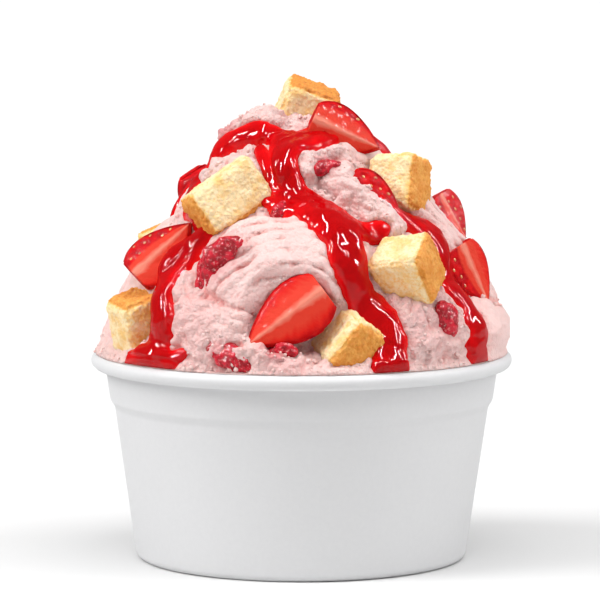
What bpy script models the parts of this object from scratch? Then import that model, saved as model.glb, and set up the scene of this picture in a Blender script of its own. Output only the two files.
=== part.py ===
"""Strawberry shortcake ice cream heaped in a squat paper cup.

Units are metres and +Z is up. The origin is the centre of the ring that the cup stands on.
The front of the cup faces -Y. A place on the mound of ice cream is an azimuth in degrees,
measured from the front towards +X, and a height above the top of the cup's rim.
"""
import math
import random

import bmesh
import bpy
from mathutils import Euler, Matrix, Vector, noise

MM = 0.001

# Cup
CUP_HEIGHT = 47.2 * MM
RIM_RADIUS = 48.0 * MM
ROLL_RADIUS = 1.77 * MM
BAND_TOP_RADIUS = 44.6 * MM
BAND_FOOT_RADIUS = 43.7 * MM
BAND_FOOT_HEIGHT = 36.5 * MM
CREASE_RADIUS = 42.66 * MM
CREASE_HEIGHT = 34.8 * MM
BASE_RADIUS = 37.9 * MM
HEEL_RADIUS = 1.8 * MM
RING_WIDTH = 1.6 * MM
WALL = 0.6 * MM
FLOOR_HEIGHT = 5.0 * MM
CUP_SIDES = 48

# Ice cream
GAP = 0.6 * MM
MOUND_RADIUS = 47.2 * MM
MOUND_HEIGHT = 55.8 * MM
MOUND_SHOULDER = 1.4
MOUND_POWER = 0.7
SKIN_DEPTH = 3.0 * MM
SKIN_RUN = 7.0 * MM
LIP_SKIN = 0.3
FOLD_POWER = 0.6
REACH = 47.5 * MM
LIP_HEIGHT = 0.9 * MM
LIP_BLEND = 4.0 * MM
MOUND_SIDES = 60
MOUND_RINGS = 26
PROFILE_SAMPLES = 400
LUMP_HEIGHT = 0.5 * MM
LUMP_SIZE = 6.0 * MM
SKIN_GRAIN = 0.9 * MM
SKIN_FACES = 6200

# Folds of ice cream: from (azimuth, height) to (azimuth, height), half width, bulge.
FOLDS = (
    ((-22, 22), (6, 25), 12.0, 5.2),
    ((-66, 22), (-68, 11), 9.5, 3.0),
    ((-82, 47), (-62, 50.5), 6.0, 5.2),
    ((-50, 44), (-30, 45), 6.0, 1.8),
    ((-60, 41), (-30, 43), 7.0, 2.8),
    ((-4, 43), (20, 44), 5.5, 4.0),
    ((22, 41), (40, 30), 4.6, 4.4),
    ((72, 36), (84, 12), 8.0, 4.4),
    ((-42, 14), (-24, 8), 8.0, 4.6),
    ((-17, 4), (-3, 2), 5.0, 3.2),
    ((38, 9), (52, 9), 8.5, 4.2),
    ((74, 6), (90, 6), 8.5, 4.8),
    ((44, 22), (62, 27), 7.0, 2.8),
    ((60, 48), (100, 42), 7.0, 2.6),
    ((100, 30), (125, 36), 9.0, 3.2),
    ((104, 16), (128, 10), 10.0, 4.0),
    ((-90, 24), (-95, 8), 9.0, 1.8),
    ((140, 26), (165, 20), 10.5, 4.4),
    ((150, 42), (190, 40), 8.5, 3.4),
    ((150, 6), (175, 5), 8.0, 3.6),
    ((186, 30), (205, 24), 9.5, 4.2),
    ((190, 10), (214, 8), 9.0, 4.2),
    ((218, 38), (240, 34), 9.0, 3.4),
    ((222, 20), (240, 14), 9.5, 4.2),
    ((215, 48), (260, 46), 7.0, 2.6),
)

# Hollows that toppings are set in: azimuth, height, half width, depth.
HOLLOWS = (
    (-4, 12, 10.5, 4.0),
    (9, 5.5, 11.0, 5.6),
    (40, 38, 6.0, 1.5),
    (-64, 9, 10.0, 4.0),
)

# Sauce streams: (azimuth, height, width) along each one.
SAUCE_RISE = 1.6 * MM
SAUCE_LIFT = 0.4 * MM
SAUCE_SIDES = 6
SAUCE_STEP = 3.8 * MM
SAUCE_BLUNT = 0.35
SAUCE_STREAMS = (
    ((-50, 50, 6), (-20, 49, 10), (8, 49.5, 11), (30, 49.5, 7)),
    ((-40, 49, 4), (-66, 45, 3.8), (-80, 41, 3.6), (-84, 37, 3.6), (-66, 33, 3.2), (-48, 30, 3)),
    ((-37, 30.5, 5.5), (-45, 27, 7.5), (-50.5, 21.5, 8), (-48.5, 16, 7), (-45, 10, 7.5), (-44, 5, 10),
     (-44, 2.5, 10)),
    ((-16, 47, 7), (-12, 42, 7.5), (-6, 37.5, 8), (5, 34, 9), (13, 29.5, 10.5), (16, 24, 9),
     (18, 18, 8.5), (23, 12.5, 8.5), (26, 7, 7), (27, 2, 6)),
    ((12, 30, 6), (22, 29, 5.5), (32, 28.5, 4.5)),
    ((-32, 45, 3), (-20, 41, 3), (-11, 36, 3.2)),
    ((43, 34.5, 5), (51, 30, 6.4), (59, 25, 8.4), (59.5, 20, 8.4), (56, 15.5, 6.4), (60, 10, 9),
     (58, 3.5, 9)),
    ((60, 53, 4), (84, 48, 4), (88, 43, 3.6), (78, 38, 3)),
    ((110, 50, 6), (125, 42, 5), (118, 33, 4.6), (124, 24, 4.6), (118, 14, 5), (120, 8, 6)),
    ((165, 50, 7), (172, 40, 6.5), (160, 30, 6), (168, 20, 5.6), (176, 12, 5.6), (174, 5, 6.5)),
    ((215, 50, 6), (208, 42, 5), (214, 32, 4.8), (206, 22, 4.6), (210, 15, 5.4)),
    ((250, 48, 5), (240, 38, 4.6), (247, 28, 4.6), (243, 18, 5), (250, 10, 6)),
)

# Cake cubes: name, centre in mm, sides in mm, turn in degrees.
CUBE_BEVEL = 1.1 * MM
CUBE_JITTER = 0.45 * MM
CUBES = (
    ("top", (1.2, 2.6, 102.2), (13.2, 12.4, 12.0), (9, 23, 3)),
    ("upper_left", (-16.6, -19.6, 83.6), (16.6, 12.8, 12.0), (-12, -32, 19)),
    ("upper_right", (22.0, -10.6, 86.0), (12.0, 12.2, 12.6), (-17, -2, -28)),
    ("right", (23.4, -31.0, 68.8), (12.8, 11.4, 12.8), (35, -8, -29)),
    ("lower_left", (-35.8, -17.8, 55.9), (12.4, 11.2, 13.0), (8, -17, 30)),
    ("lower_centre", (10.6, -37.2, 52.9), (11.2, 13.0, 12.8), (17, 32, 33)),
    ("back_upper", (-6.0, 21.5, 86.0), (12.4, 11.4, 11.0), (24, -14, 40)),
    ("back_left", (-30.5, 23.0, 68.5), (11.8, 11.2, 10.8), (-20, 12, 62)),
    ("back_right", (28.8, 25.6, 64.5), (12.2, 10.8, 11.4), (14, 28, 15)),
    ("back_low", (-8.0, 38.5, 57.5), (11.4, 11.6, 12.0), (-30, 10, 24)),
)

# Strawberry pieces: name, middle in mm, length, radius, wedge angle, way the tip points,
# way the cut edge faces.
BERRY_POINTS = 6
BERRY_STEPS = 7
BERRY_FLAT = 0.12
BERRY_SHOULDER = 0.72
BERRY_FULLNESS = 0.8
BERRIES = (
    ("top_right", (10.4, -11.6, 97.6), 17.0, 6.8, 150, (0.90, 0.10, -0.42), (-0.25, -0.85, 0.35)),
    ("left", (-31.0, -19.6, 72.6), 17.5, 7.0, 160, (0.70, 0.16, 0.62), (-0.45, -0.85, 0.20)),
    ("right_low", (39.4, -10.8, 65.6), 15.5, 6.4, 170, (0.40, 0.05, -0.90), (0.60, -0.75, 0.30)),
    ("right_high", (34.8, -3.6, 78.2), 12.4, 5.6, 180, (0.45, 0.0, -0.85), (0.70, -0.60, 0.35)),
    ("centre", (-3.8, -43.0, 59.4), 21.0, 7.8, 150, (-0.78, -0.05, -0.58), (0.10, -0.90, 0.38)),
    ("under_cube", (16.6, -22.2, 84.2), 13.5, 5.4, 170, (0.80, 0.10, -0.52), (-0.15, -0.85, 0.45)),
    ("back_high", (16.0, 23.5, 80.0), 18.0, 7.2, 160, (-0.55, 0.10, -0.75), (0.30, 0.85, 0.30)),
    ("back_middle", (9.5, 38.5, 67.5), 20.0, 8.0, 150, (0.80, 0.05, -0.40), (0.05, 0.90, 0.35)),
    ("back_side", (-24.0, 25.0, 80.0), 15.0, 6.2, 170, (0.30, 0.30, -0.85), (-0.65, 0.70, 0.20)),
    ("back_foot", (-32.6, 27.2, 54.5), 17.0, 6.8, 160, (0.75, 0.45, -0.25), (-0.50, 0.75, 0.40)),
)

# Fruit chunks sunk in the ice cream: name, azimuth, height, sizes in mm, tilt in degrees.
CHUNKS = (
    ("left", -31, 22.0, (8.5, 5.0, 13.0), -24),
    ("right", 46, 9.2, (6.6, 5.0, 9.4), 0),
    ("low_left", -22, 3.4, (9.6, 4.6, 5.6), 20),
    ("middle", -9, 33.6, (7.0, 4.6, 5.0), 30),
    ("back_left", 216, 8.5, (9.0, 5.0, 7.0), 15),
    ("back_right", 144, 6.0, (9.5, 5.0, 6.6), -20),
)
CHUNK_ROUGHNESS = 0.12
CHUNK_SINK = 1.1 * MM

SOCKET_GAP = 0.35 * MM
MERGE = 1e-5
MEND_PASSES = 3


def clear_scene():
    """Removes the objects that a new scene starts with."""
    for stray in list(bpy.data.objects):
        bpy.data.objects.remove(stray, do_unlink=True)


def make_material(name, colour, roughness):
    """A plain surface of one colour and roughness."""
    material = bpy.data.materials.new(name)
    material.use_nodes = True
    shader = material.node_tree.nodes["Principled BSDF"]
    shader.inputs["Base Color"].default_value = (*colour, 1.0)
    shader.inputs["Roughness"].default_value = roughness
    shader.inputs["Metallic"].default_value = 0.0
    material.diffuse_color = (*colour, 1.0)
    return material


def new_object(name, shape, material, smooth_angle=None):
    """Turns a bmesh into a named object, its faces pointing out."""
    bmesh.ops.recalc_face_normals(shape, faces=shape.faces)
    mesh = bpy.data.meshes.new(name)
    shape.to_mesh(mesh)
    shape.free()
    if smooth_angle is not None:
        mesh.shade_smooth()
        mesh.set_sharp_from_angle(angle=math.radians(smooth_angle))
    mesh.materials.append(material)
    thing = bpy.data.objects.new(name, mesh)
    bpy.context.scene.collection.objects.link(thing)
    return thing


def arc(centre, radius, start, end, steps):
    """Points (radius, height) along an arc in the turned profile, angles in degrees."""
    angles = [math.radians(start + (end - start) * step / steps) for step in range(steps + 1)]
    return [(centre[0] + radius * math.cos(turn), centre[1] + radius * math.sin(turn)) for turn in angles]


def turned(profile, sides):
    """Spins a closed profile, whose ends lie on the axis, into a solid."""
    shape = bmesh.new()
    points = [shape.verts.new((radius, 0.0, height)) for radius, height in profile]
    edges = [shape.edges.new(pair) for pair in zip(points, points[1:])]
    bmesh.ops.spin(
        shape,
        geom=points + edges,
        cent=(0, 0, 0),
        axis=(0, 0, 1),
        angle=math.tau,
        steps=sides,
        use_merge=True,
    )
    bmesh.ops.remove_doubles(shape, verts=shape.verts, dist=1e-6)
    return shape


def wall_radius(height):
    """Outer radius of the tapered wall below the lid band."""
    share = (height - HEEL_RADIUS) / (CREASE_HEIGHT - HEEL_RADIUS)
    return BASE_RADIUS + (CREASE_RADIUS - BASE_RADIUS) * share


def make_cup(material):
    """Paper cup: tapered wall, lid band, rolled rim and a floor set up inside a standing ring."""
    roll = (RIM_RADIUS - ROLL_RADIUS, CUP_HEIGHT - ROLL_RADIUS)
    heel = (BASE_RADIUS - HEEL_RADIUS, HEEL_RADIUS)
    ring = BASE_RADIUS - HEEL_RADIUS - RING_WIDTH
    band_top = CUP_HEIGHT - 2 * ROLL_RADIUS - MM
    profile = [(0.0, FLOOR_HEIGHT - WALL), (ring, FLOOR_HEIGHT - WALL), (ring, 0.0)]
    profile += arc(heel, HEEL_RADIUS, -90, 0, 3)
    profile += [
        (CREASE_RADIUS, CREASE_HEIGHT),
        (BAND_FOOT_RADIUS, BAND_FOOT_HEIGHT),
        (BAND_TOP_RADIUS, band_top),
    ]
    profile += arc(roll, ROLL_RADIUS, -155, 135, 10)
    profile += [
        (BAND_TOP_RADIUS - WALL, band_top),
        (BAND_FOOT_RADIUS - WALL, BAND_FOOT_HEIGHT),
        (CREASE_RADIUS - WALL, CREASE_HEIGHT),
        (wall_radius(FLOOR_HEIGHT) - WALL, FLOOR_HEIGHT),
        (0.0, FLOOR_HEIGHT),
    ]
    return new_object("cup", turned(profile, CUP_SIDES), material, 35)


def mound_profile(height):
    """Radius of the plain mound and its outward slope at a height above the rim."""
    share = min(max(height / MOUND_HEIGHT, 0.0), 0.9999)
    fill = 1.0 - share**MOUND_SHOULDER
    skin = SKIN_DEPTH * min(1.0, LIP_SKIN + height / SKIN_RUN) * (1.0 - share**8)
    radius = MOUND_RADIUS * fill**MOUND_POWER - skin
    fall = (
        -MOUND_RADIUS * MOUND_POWER * fill ** (MOUND_POWER - 1.0)
        * MOUND_SHOULDER * share ** (MOUND_SHOULDER - 1.0) / MOUND_HEIGHT
    )
    return max(radius, 0.0), fall


def at_azimuth(azimuth, radius, height):
    """The point at an azimuth in degrees, a radius and a world height."""
    turn = math.radians(azimuth)
    return Vector((radius * math.sin(turn), -radius * math.cos(turn), height))


def mound_base(azimuth, height):
    """A point of the plain mound and the way out of it there."""
    radius, fall = mound_profile(height)
    outward = at_azimuth(azimuth, 1.0, -fall).normalized()
    return at_azimuth(azimuth, radius, CUP_HEIGHT + height), outward


def fold_lines():
    """The folds as lines in space, each with its half width and bulge."""
    lines = []
    for start, end, half_width, bulge in FOLDS:
        first = mound_base(start[0], start[1] * MM)[0]
        last = mound_base(end[0], end[1] * MM)[0]
        lines.append((first, last - first, half_width * MM, bulge * MM))
    return lines


def hollow_spots():
    """The hollows as places in space, each with its half width and depth."""
    return [
        (mound_base(azimuth, height * MM)[0], half_width * MM, depth * MM)
        for azimuth, height, half_width, depth in HOLLOWS
    ]


FOLD_LINES = fold_lines()
HOLLOW_SPOTS = hollow_spots()


def relief(point):
    """How far the folds and hollows lift the surface at a point of the plain mound."""
    lift = 0.0
    for start, along, half_width, bulge in FOLD_LINES:
        share = min(max((point - start).dot(along) / along.length_squared, 0.0), 1.0)
        reach = (point - start - along * share).length / half_width
        if reach < 1.0:
            lift = max(lift, bulge * (1.0 - reach * reach) ** FOLD_POWER)
    for centre, half_width, depth in HOLLOW_SPOTS:
        reach = (point - centre).length / half_width
        if reach < 1.0:
            lift -= depth * (1.0 - reach * reach)
    return lift + LUMP_HEIGHT * noise.noise(point / LUMP_SIZE)


def mound_surface(azimuth, height):
    """A point of the folded surface and the plain mound's way out there."""
    base, outward = mound_base(azimuth, height)
    blend = min(max((height - LIP_HEIGHT) / LIP_BLEND, 0.0), 1.0)
    point = base + outward * relief(base) * blend
    across = math.hypot(point.x, point.y)
    if across > REACH:
        point.x *= REACH / across
        point.y *= REACH / across
    return point, outward


def mound_heights():
    """Heights of the rings of the mound, evenly spaced along its profile."""
    points = []
    for step in range(PROFILE_SAMPLES + 1):
        climb = math.sin(math.pi / 2 * step / PROFILE_SAMPLES)
        height = LIP_HEIGHT + (MOUND_HEIGHT - LIP_HEIGHT) * climb
        points.append((mound_profile(height)[0], height))
    lengths = [0.0]
    for first, last in zip(points, points[1:]):
        lengths.append(lengths[-1] + math.dist(first, last))
    heights = []
    spot = 0
    for ring in range(MOUND_RINGS):
        wanted = lengths[-1] * ring / MOUND_RINGS
        while lengths[spot + 1] < wanted:
            spot += 1
        heights.append(points[spot][1])
    return heights


def filling_rings():
    """Radius and height of the rings of ice cream inside the cup, from the floor to the rim."""
    roll = (RIM_RADIUS - ROLL_RADIUS, CUP_HEIGHT - ROLL_RADIUS)
    inside = WALL + GAP
    band_top = CUP_HEIGHT - 2 * ROLL_RADIUS - MM
    rings = [
        (wall_radius(FLOOR_HEIGHT) - inside - MM, FLOOR_HEIGHT + GAP),
        (wall_radius(FLOOR_HEIGHT + MM) - inside, FLOOR_HEIGHT + GAP + MM),
        (CREASE_RADIUS - inside, CREASE_HEIGHT),
        (BAND_FOOT_RADIUS - inside, BAND_FOOT_HEIGHT),
        (BAND_TOP_RADIUS - inside, band_top),
    ]
    return rings + arc(roll, ROLL_RADIUS + GAP, 165, 90, 3)


def make_body():
    """The ice cream without its sauce: the filling of the cup and the folded mound on it."""
    shape = bmesh.new()
    rings = []
    turns = [360.0 * side / MOUND_SIDES for side in range(MOUND_SIDES)]
    for radius, height in filling_rings():
        rings.append([shape.verts.new(at_azimuth(turn, radius, height)) for turn in turns])
    for height in mound_heights():
        rings.append([shape.verts.new(mound_surface(turn, height)[0]) for turn in turns])
    for lower, upper in zip(rings, rings[1:]):
        for side in range(MOUND_SIDES):
            following = (side + 1) % MOUND_SIDES
            shape.faces.new((lower[side], lower[following], upper[following], upper[side]))
    shape.faces.new(rings[0])
    crown = shape.verts.new(mound_surface(0.0, MOUND_HEIGHT)[0])
    for side in range(MOUND_SIDES):
        shape.faces.new((rings[-1][side], rings[-1][(side + 1) % MOUND_SIDES], crown))
    return shape


def smooth_route(points, step):
    """Points about a step apart along a smooth curve through (place, width) pairs."""
    route = []
    for spot in range(len(points) - 1):
        before = points[max(spot - 1, 0)]
        start = points[spot]
        end = points[spot + 1]
        after = points[min(spot + 2, len(points) - 1)]
        pieces = max(1, round((end[0] - start[0]).length / step))
        for piece in range(pieces):
            t = piece / pieces
            weights = (
                -0.5 * t + t * t - 0.5 * t**3,
                1.0 - 2.5 * t * t + 1.5 * t**3,
                0.5 * t + 2.0 * t * t - 1.5 * t**3,
                -0.5 * t * t + 0.5 * t**3,
            )
            place = Vector((0.0, 0.0, 0.0))
            for weight, knot in zip(weights, (before, start, end, after)):
                place += knot[0] * weight
            route.append((place, start[1] + (end[1] - start[1]) * t))
    route.append(points[-1])
    return route


def on_mound(point):
    """The folded surface under or over a point in space."""
    azimuth = math.degrees(math.atan2(point.x, -point.y))
    return mound_surface(azimuth, point.z - CUP_HEIGHT)


def keep_in_cup(point):
    """Moves a point of sauce clear of the rolled rim and inside its radius."""
    across = math.hypot(point.x, point.y)
    if across > REACH:
        point.x *= REACH / across
        point.y *= REACH / across
    point.z = max(point.z, CUP_HEIGHT + LIP_HEIGHT)
    return point


def make_stream(stream):
    """One stream of sauce: a flattened tube with round ends, half sunk in the ice cream."""
    knots = [(mound_surface(azimuth, height * MM)[0], width * MM) for azimuth, height, width in stream]
    route = smooth_route(knots, SAUCE_STEP)
    centres = [on_mound(place) for place, _ in route]
    shape = bmesh.new()
    rings = []
    for spot, (centre, outward) in enumerate(centres):
        ahead = centres[min(spot + 1, len(centres) - 1)][0]
        behind = centres[max(spot - 1, 0)][0]
        along = (ahead - behind).normalized()
        sideways = along.cross(outward).normalized()
        from_end = min(spot, len(centres) - 1 - spot) + SAUCE_BLUNT
        taper = math.sqrt(min(1.0, from_end * SAUCE_STEP / (0.5 * route[spot][1])))
        ring = []
        for side in range(SAUCE_SIDES):
            turn = math.tau * side / SAUCE_SIDES
            offset = sideways * (0.5 * route[spot][1] * taper * math.cos(turn))
            offset += outward * (SAUCE_RISE * taper * math.sin(turn) + SAUCE_LIFT)
            ring.append(shape.verts.new(keep_in_cup(centre + offset)))
        rings.append(ring)
    for first, last in zip(rings, rings[1:]):
        for side in range(SAUCE_SIDES):
            following = (side + 1) % SAUCE_SIDES
            shape.faces.new((first[side], first[following], last[following], last[side]))
    shape.faces.new(rings[0])
    shape.faces.new(rings[-1])
    return shape


def oriented(along, facing):
    """A turn that points local +Z along one way and local -X as nearly as it can along another."""
    up = Vector(along).normalized()
    back = -Vector(facing)
    back = (back - up * back.dot(up)).normalized()
    side = up.cross(back)
    return Matrix((back, side, up)).transposed().to_4x4()


def make_cube(name, centre, sides, turn, material):
    """One cube of cake, with worn edges and corners that are a little off square."""
    spread = random.Random(name)
    shape = bmesh.new()
    bmesh.ops.create_cube(shape, size=1.0)
    for corner in shape.verts:
        corner.co = Vector([corner.co[axis] * sides[axis] * MM for axis in range(3)])
        corner.co += Vector([spread.uniform(-CUBE_JITTER, CUBE_JITTER) for _ in range(3)])
    bmesh.ops.bevel(
        shape,
        geom=shape.edges[:] + shape.verts[:],
        offset=CUBE_BEVEL,
        segments=1,
        profile=0.5,
        affect="EDGES",
    )
    bmesh.ops.triangulate(shape, faces=shape.faces)
    cube = new_object("cake_cube_" + name, shape, material)
    cube.location = Vector(centre) * MM
    cube.rotation_euler = Euler([math.radians(value) for value in turn])
    return cube


def berry_radius(share, radius):
    """Radius of a strawberry at a share of its length, from the flat calyx end to the tip."""
    run = BERRY_FLAT + (1.0 - BERRY_FLAT) * share
    return radius * math.sin(math.pi * run**BERRY_SHOULDER) ** BERRY_FULLNESS


def make_berry(name, middle, length, radius, wedge, along, facing, material):
    """A wedge of strawberry: skin outside, two cut faces that meet on the berry's axis."""
    shape = bmesh.new()
    span = length * MM
    profile = [Vector((0.0, 0.0, -0.5 * span))]
    for spot in range(BERRY_POINTS):
        share = spot / BERRY_POINTS
        profile.append(Vector((berry_radius(share, radius * MM), 0.0, (share - 0.5) * span)))
    profile.append(Vector((0.0, 0.0, 0.5 * span)))
    start = Matrix.Rotation(math.radians(-0.5 * wedge), 3, "Z")
    points = [shape.verts.new(start @ point) for point in profile]
    edges = [shape.edges.new(pair) for pair in zip(points, points[1:])]
    bmesh.ops.spin(
        shape,
        geom=points + edges,
        cent=(0, 0, 0),
        axis=(0, 0, 1),
        angle=math.radians(wedge),
        steps=BERRY_STEPS,
    )
    bmesh.ops.remove_doubles(shape, verts=shape.verts, dist=1e-6)
    foot = min(shape.verts, key=lambda corner: corner.co.z + 10 * corner.co.xy.length)
    tip = max(shape.verts, key=lambda corner: corner.co.z - 10 * corner.co.xy.length)
    for side in (-0.5, 0.5):
        turn = math.radians(side * wedge)
        cut = Vector((math.cos(turn), math.sin(turn)))
        outline = [
            corner for corner in shape.verts
            if corner.is_boundary and corner.co.xy.length > MERGE
            and corner.co.xy.normalized().dot(cut) > 0.9999
        ]
        outline.sort(key=lambda corner: corner.co.z)
        shape.faces.new([foot, *outline, tip])
    bmesh.ops.triangulate(shape, faces=shape.faces)
    berry = new_object("strawberry_" + name, shape, material, 40)
    berry.matrix_world = Matrix.Translation(Vector(middle) * MM) @ oriented(along, facing)
    return berry


def make_chunk(name, azimuth, height, sizes, tilt, material):
    """A lump of crushed strawberry, half sunk in the ice cream."""
    shape = bmesh.new()
    bmesh.ops.create_icosphere(shape, subdivisions=2, radius=0.5)
    shift = Vector((azimuth, height, 0.0))
    for corner in shape.verts:
        grow = 1.0 + CHUNK_ROUGHNESS * noise.noise(corner.co * 3.0 + shift)
        corner.co = Vector([corner.co[axis] * sizes[axis] * MM * grow for axis in range(3)])
    place, outward = mound_surface(azimuth, height * MM)
    chunk = new_object("fruit_chunk_" + name, shape, material, 60)
    turn = oriented((0, 0, 1), outward) @ Matrix.Rotation(math.radians(90), 4, "Z")
    turn = turn @ Matrix.Rotation(math.radians(tilt), 4, "Y")
    chunk.matrix_world = Matrix.Translation(place - outward * CHUNK_SINK) @ turn
    return chunk


def apply_modifiers(thing):
    """Replaces an object's mesh by what its modifiers make of it."""
    evaluated = thing.evaluated_get(bpy.context.evaluated_depsgraph_get())
    mesh = bpy.data.meshes.new_from_object(evaluated)
    thing.modifiers.clear()
    thing.data = mesh


def blend_skin(thing):
    """Melts joined shapes into one even skin, then thins it where it is plain."""
    melt = thing.modifiers.new("melt", "REMESH")
    melt.mode = "VOXEL"
    melt.voxel_size = SKIN_GRAIN
    apply_modifiers(thing)
    thinning = thing.modifiers.new("thinning", "DECIMATE")
    thinning.ratio = SKIN_FACES / (2 * len(thing.data.polygons))
    apply_modifiers(thing)


def combine(thing, others, operation, solver):
    """Joins closed meshes to an object, or cuts them out of it, and removes them."""
    group = bpy.data.collections.new(operation)
    bpy.context.scene.collection.children.link(group)
    for other in others:
        bpy.context.scene.collection.objects.unlink(other)
        group.objects.link(other)
    boolean = thing.modifiers.new(operation, "BOOLEAN")
    boolean.operation = operation
    boolean.operand_type = "COLLECTION"
    boolean.collection = group
    boolean.solver = solver
    apply_modifiers(thing)
    for other in others:
        bpy.data.objects.remove(other, do_unlink=True)
    bpy.data.collections.remove(group)


def grown_copy(thing):
    """A copy of a topping that is larger by the gap all round, in world space."""
    shape = bmesh.new()
    shape.from_mesh(thing.data)
    shape.transform(thing.matrix_world)
    shape.normal_update()
    shifts = [corner.normal * corner.calc_shell_factor() * SOCKET_GAP for corner in shape.verts]
    for corner, shift in zip(shape.verts, shifts):
        corner.co += shift
    return new_object("socket", shape, thing.data.materials[0])


def connected_bodies(shape):
    """The vertices of a mesh, grouped by the body they belong to, smallest first."""
    seen = set()
    bodies = []
    for corner in shape.verts:
        if corner in seen:
            continue
        seen.add(corner)
        body = [corner]
        for member in body:
            for edge in member.link_edges:
                neighbour = edge.other_vert(member)
                if neighbour not in seen:
                    seen.add(neighbour)
                    body.append(neighbour)
        bodies.append(body)
    return sorted(bodies, key=len)


def mend(shape):
    """Closes the pinches and slivers that cutting leaves in a mesh."""
    for _ in range(MEND_PASSES):
        weak = [edge for edge in shape.edges if len(edge.link_faces) > 2 or edge.calc_length() < MERGE]
        bmesh.ops.collapse(shape, edges=weak)
        twins = {}
        for face in shape.faces:
            twins.setdefault(frozenset(face.verts), []).append(face)
        doubled = [face for group in twins.values() if len(group) > 1 for face in group]
        bmesh.ops.delete(shape, geom=doubled, context="FACES")


def finish_body(thing):
    """Drops every loose scrap of a mesh but its largest body, and mends that."""
    shape = bmesh.new()
    shape.from_mesh(thing.data)
    scraps = [corner for body in connected_bodies(shape)[:-1] for corner in body]
    bmesh.ops.delete(shape, geom=scraps, context="VERTS")
    bmesh.ops.triangulate(shape, faces=shape.faces)
    mend(shape)
    shape.to_mesh(thing.data)
    shape.free()


def main():
    """Builds the cup, every topping, and the ice cream with its sauce shaped round them."""
    clear_scene()
    paper = make_material("white_paper", (0.86, 0.86, 0.86), 0.5)
    cream = make_material("pink_ice_cream", (0.93, 0.66, 0.66), 0.6)
    cake = make_material("yellow_cake", (0.93, 0.70, 0.32), 0.85)
    fruit = make_material("strawberry", (0.75, 0.03, 0.03), 0.25)
    make_cup(paper)
    toppings = [make_cube(*cube, cake) for cube in CUBES]
    toppings += [make_berry(*berry, fruit) for berry in BERRIES]
    toppings += [make_chunk(*chunk, fruit) for chunk in CHUNKS]
    bpy.context.view_layer.update()
    ice_cream = new_object("ice_cream", make_body(), cream, 50)
    streams = [new_object("stream", make_stream(stream), cream) for stream in SAUCE_STREAMS]
    combine(ice_cream, streams, "UNION", "MANIFOLD")
    blend_skin(ice_cream)
    combine(ice_cream, [grown_copy(topping) for topping in toppings], "DIFFERENCE", "MANIFOLD")
    finish_body(ice_cream)


main()
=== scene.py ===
"""Dresses a strawberry shortcake ice cream cup: paper, ice cream, sauce, cake and fruit.

Lengths are in millimetres while a piece is being shaped and in metres once it is a mesh. The
front of the cup faces -Y. A place on the mound is an azimuth in degrees, measured from the
front towards +X, and a height above the top of the cup's rim.
"""

import logging
import math
import random
from dataclasses import dataclass, field
from enum import Enum

import bmesh
import bpy
import numpy as np
from mathutils import Euler, Matrix, Vector

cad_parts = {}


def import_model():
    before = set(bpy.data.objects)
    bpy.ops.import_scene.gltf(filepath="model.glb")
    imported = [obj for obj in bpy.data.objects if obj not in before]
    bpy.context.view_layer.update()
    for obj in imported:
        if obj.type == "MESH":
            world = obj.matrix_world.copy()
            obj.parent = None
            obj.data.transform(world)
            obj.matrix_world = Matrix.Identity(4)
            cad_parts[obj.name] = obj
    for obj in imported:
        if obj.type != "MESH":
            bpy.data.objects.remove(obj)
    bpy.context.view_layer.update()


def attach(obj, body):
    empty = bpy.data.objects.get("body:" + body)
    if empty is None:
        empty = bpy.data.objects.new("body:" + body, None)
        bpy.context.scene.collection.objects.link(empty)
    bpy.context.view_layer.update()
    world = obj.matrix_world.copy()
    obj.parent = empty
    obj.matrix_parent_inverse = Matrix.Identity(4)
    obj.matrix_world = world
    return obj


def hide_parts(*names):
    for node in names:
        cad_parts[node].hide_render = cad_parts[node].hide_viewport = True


MM = 0.001
WELD = 1e-6
TINY = 1e-9
BODY = "root"

logging.basicConfig(level=logging.INFO, format="%(message)s")
LOG = logging.getLogger("dressing")


class Slot(Enum):
    """The record's material slots."""

    PAPER = "cup_paper"
    CREAM = "ice_cream"
    CAKE = "cake"
    FRUIT = "strawberry"


class Texture(Enum):
    """How ice cream broke off the scoop: clumps, crumbs, pits and grooves in mm, and how rough."""

    SMOOTH = (0.32, 0.05, 0.10, 0.12, 0.30)
    STREAKED = (0.20, 0.09, 0.12, 1.00, 0.40)
    CRUMBLY = (1.15, 0.74, 0.32, 0.00, 1.00)
    TORN = (1.05, 0.60, 0.48, 0.20, 0.90)
    TENDER = (0.70, 0.50, 0.12, 0.00, 0.80)


class Face(Enum):
    """The six sides of a cake cube: the axis it looks along and which way."""

    LEFT = (0, -1)
    RIGHT = (0, 1)
    FRONT = (1, -1)
    BACK = (1, 1)
    UNDER = (2, -1)
    TOP = (2, 1)


def smoothstep(low: float, high: float, value: np.ndarray) -> np.ndarray:
    """Eases from 0 at low to 1 at high.

    Args:
        low: The value at which the result is 0.
        high: The value at which the result is 1.
        value: The numbers to ease.

    Returns:
        Numbers from 0 to 1.
    """
    share = np.clip((value - low) / (high - low), 0.0, 1.0)
    return share * share * (3.0 - 2.0 * share)


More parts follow.
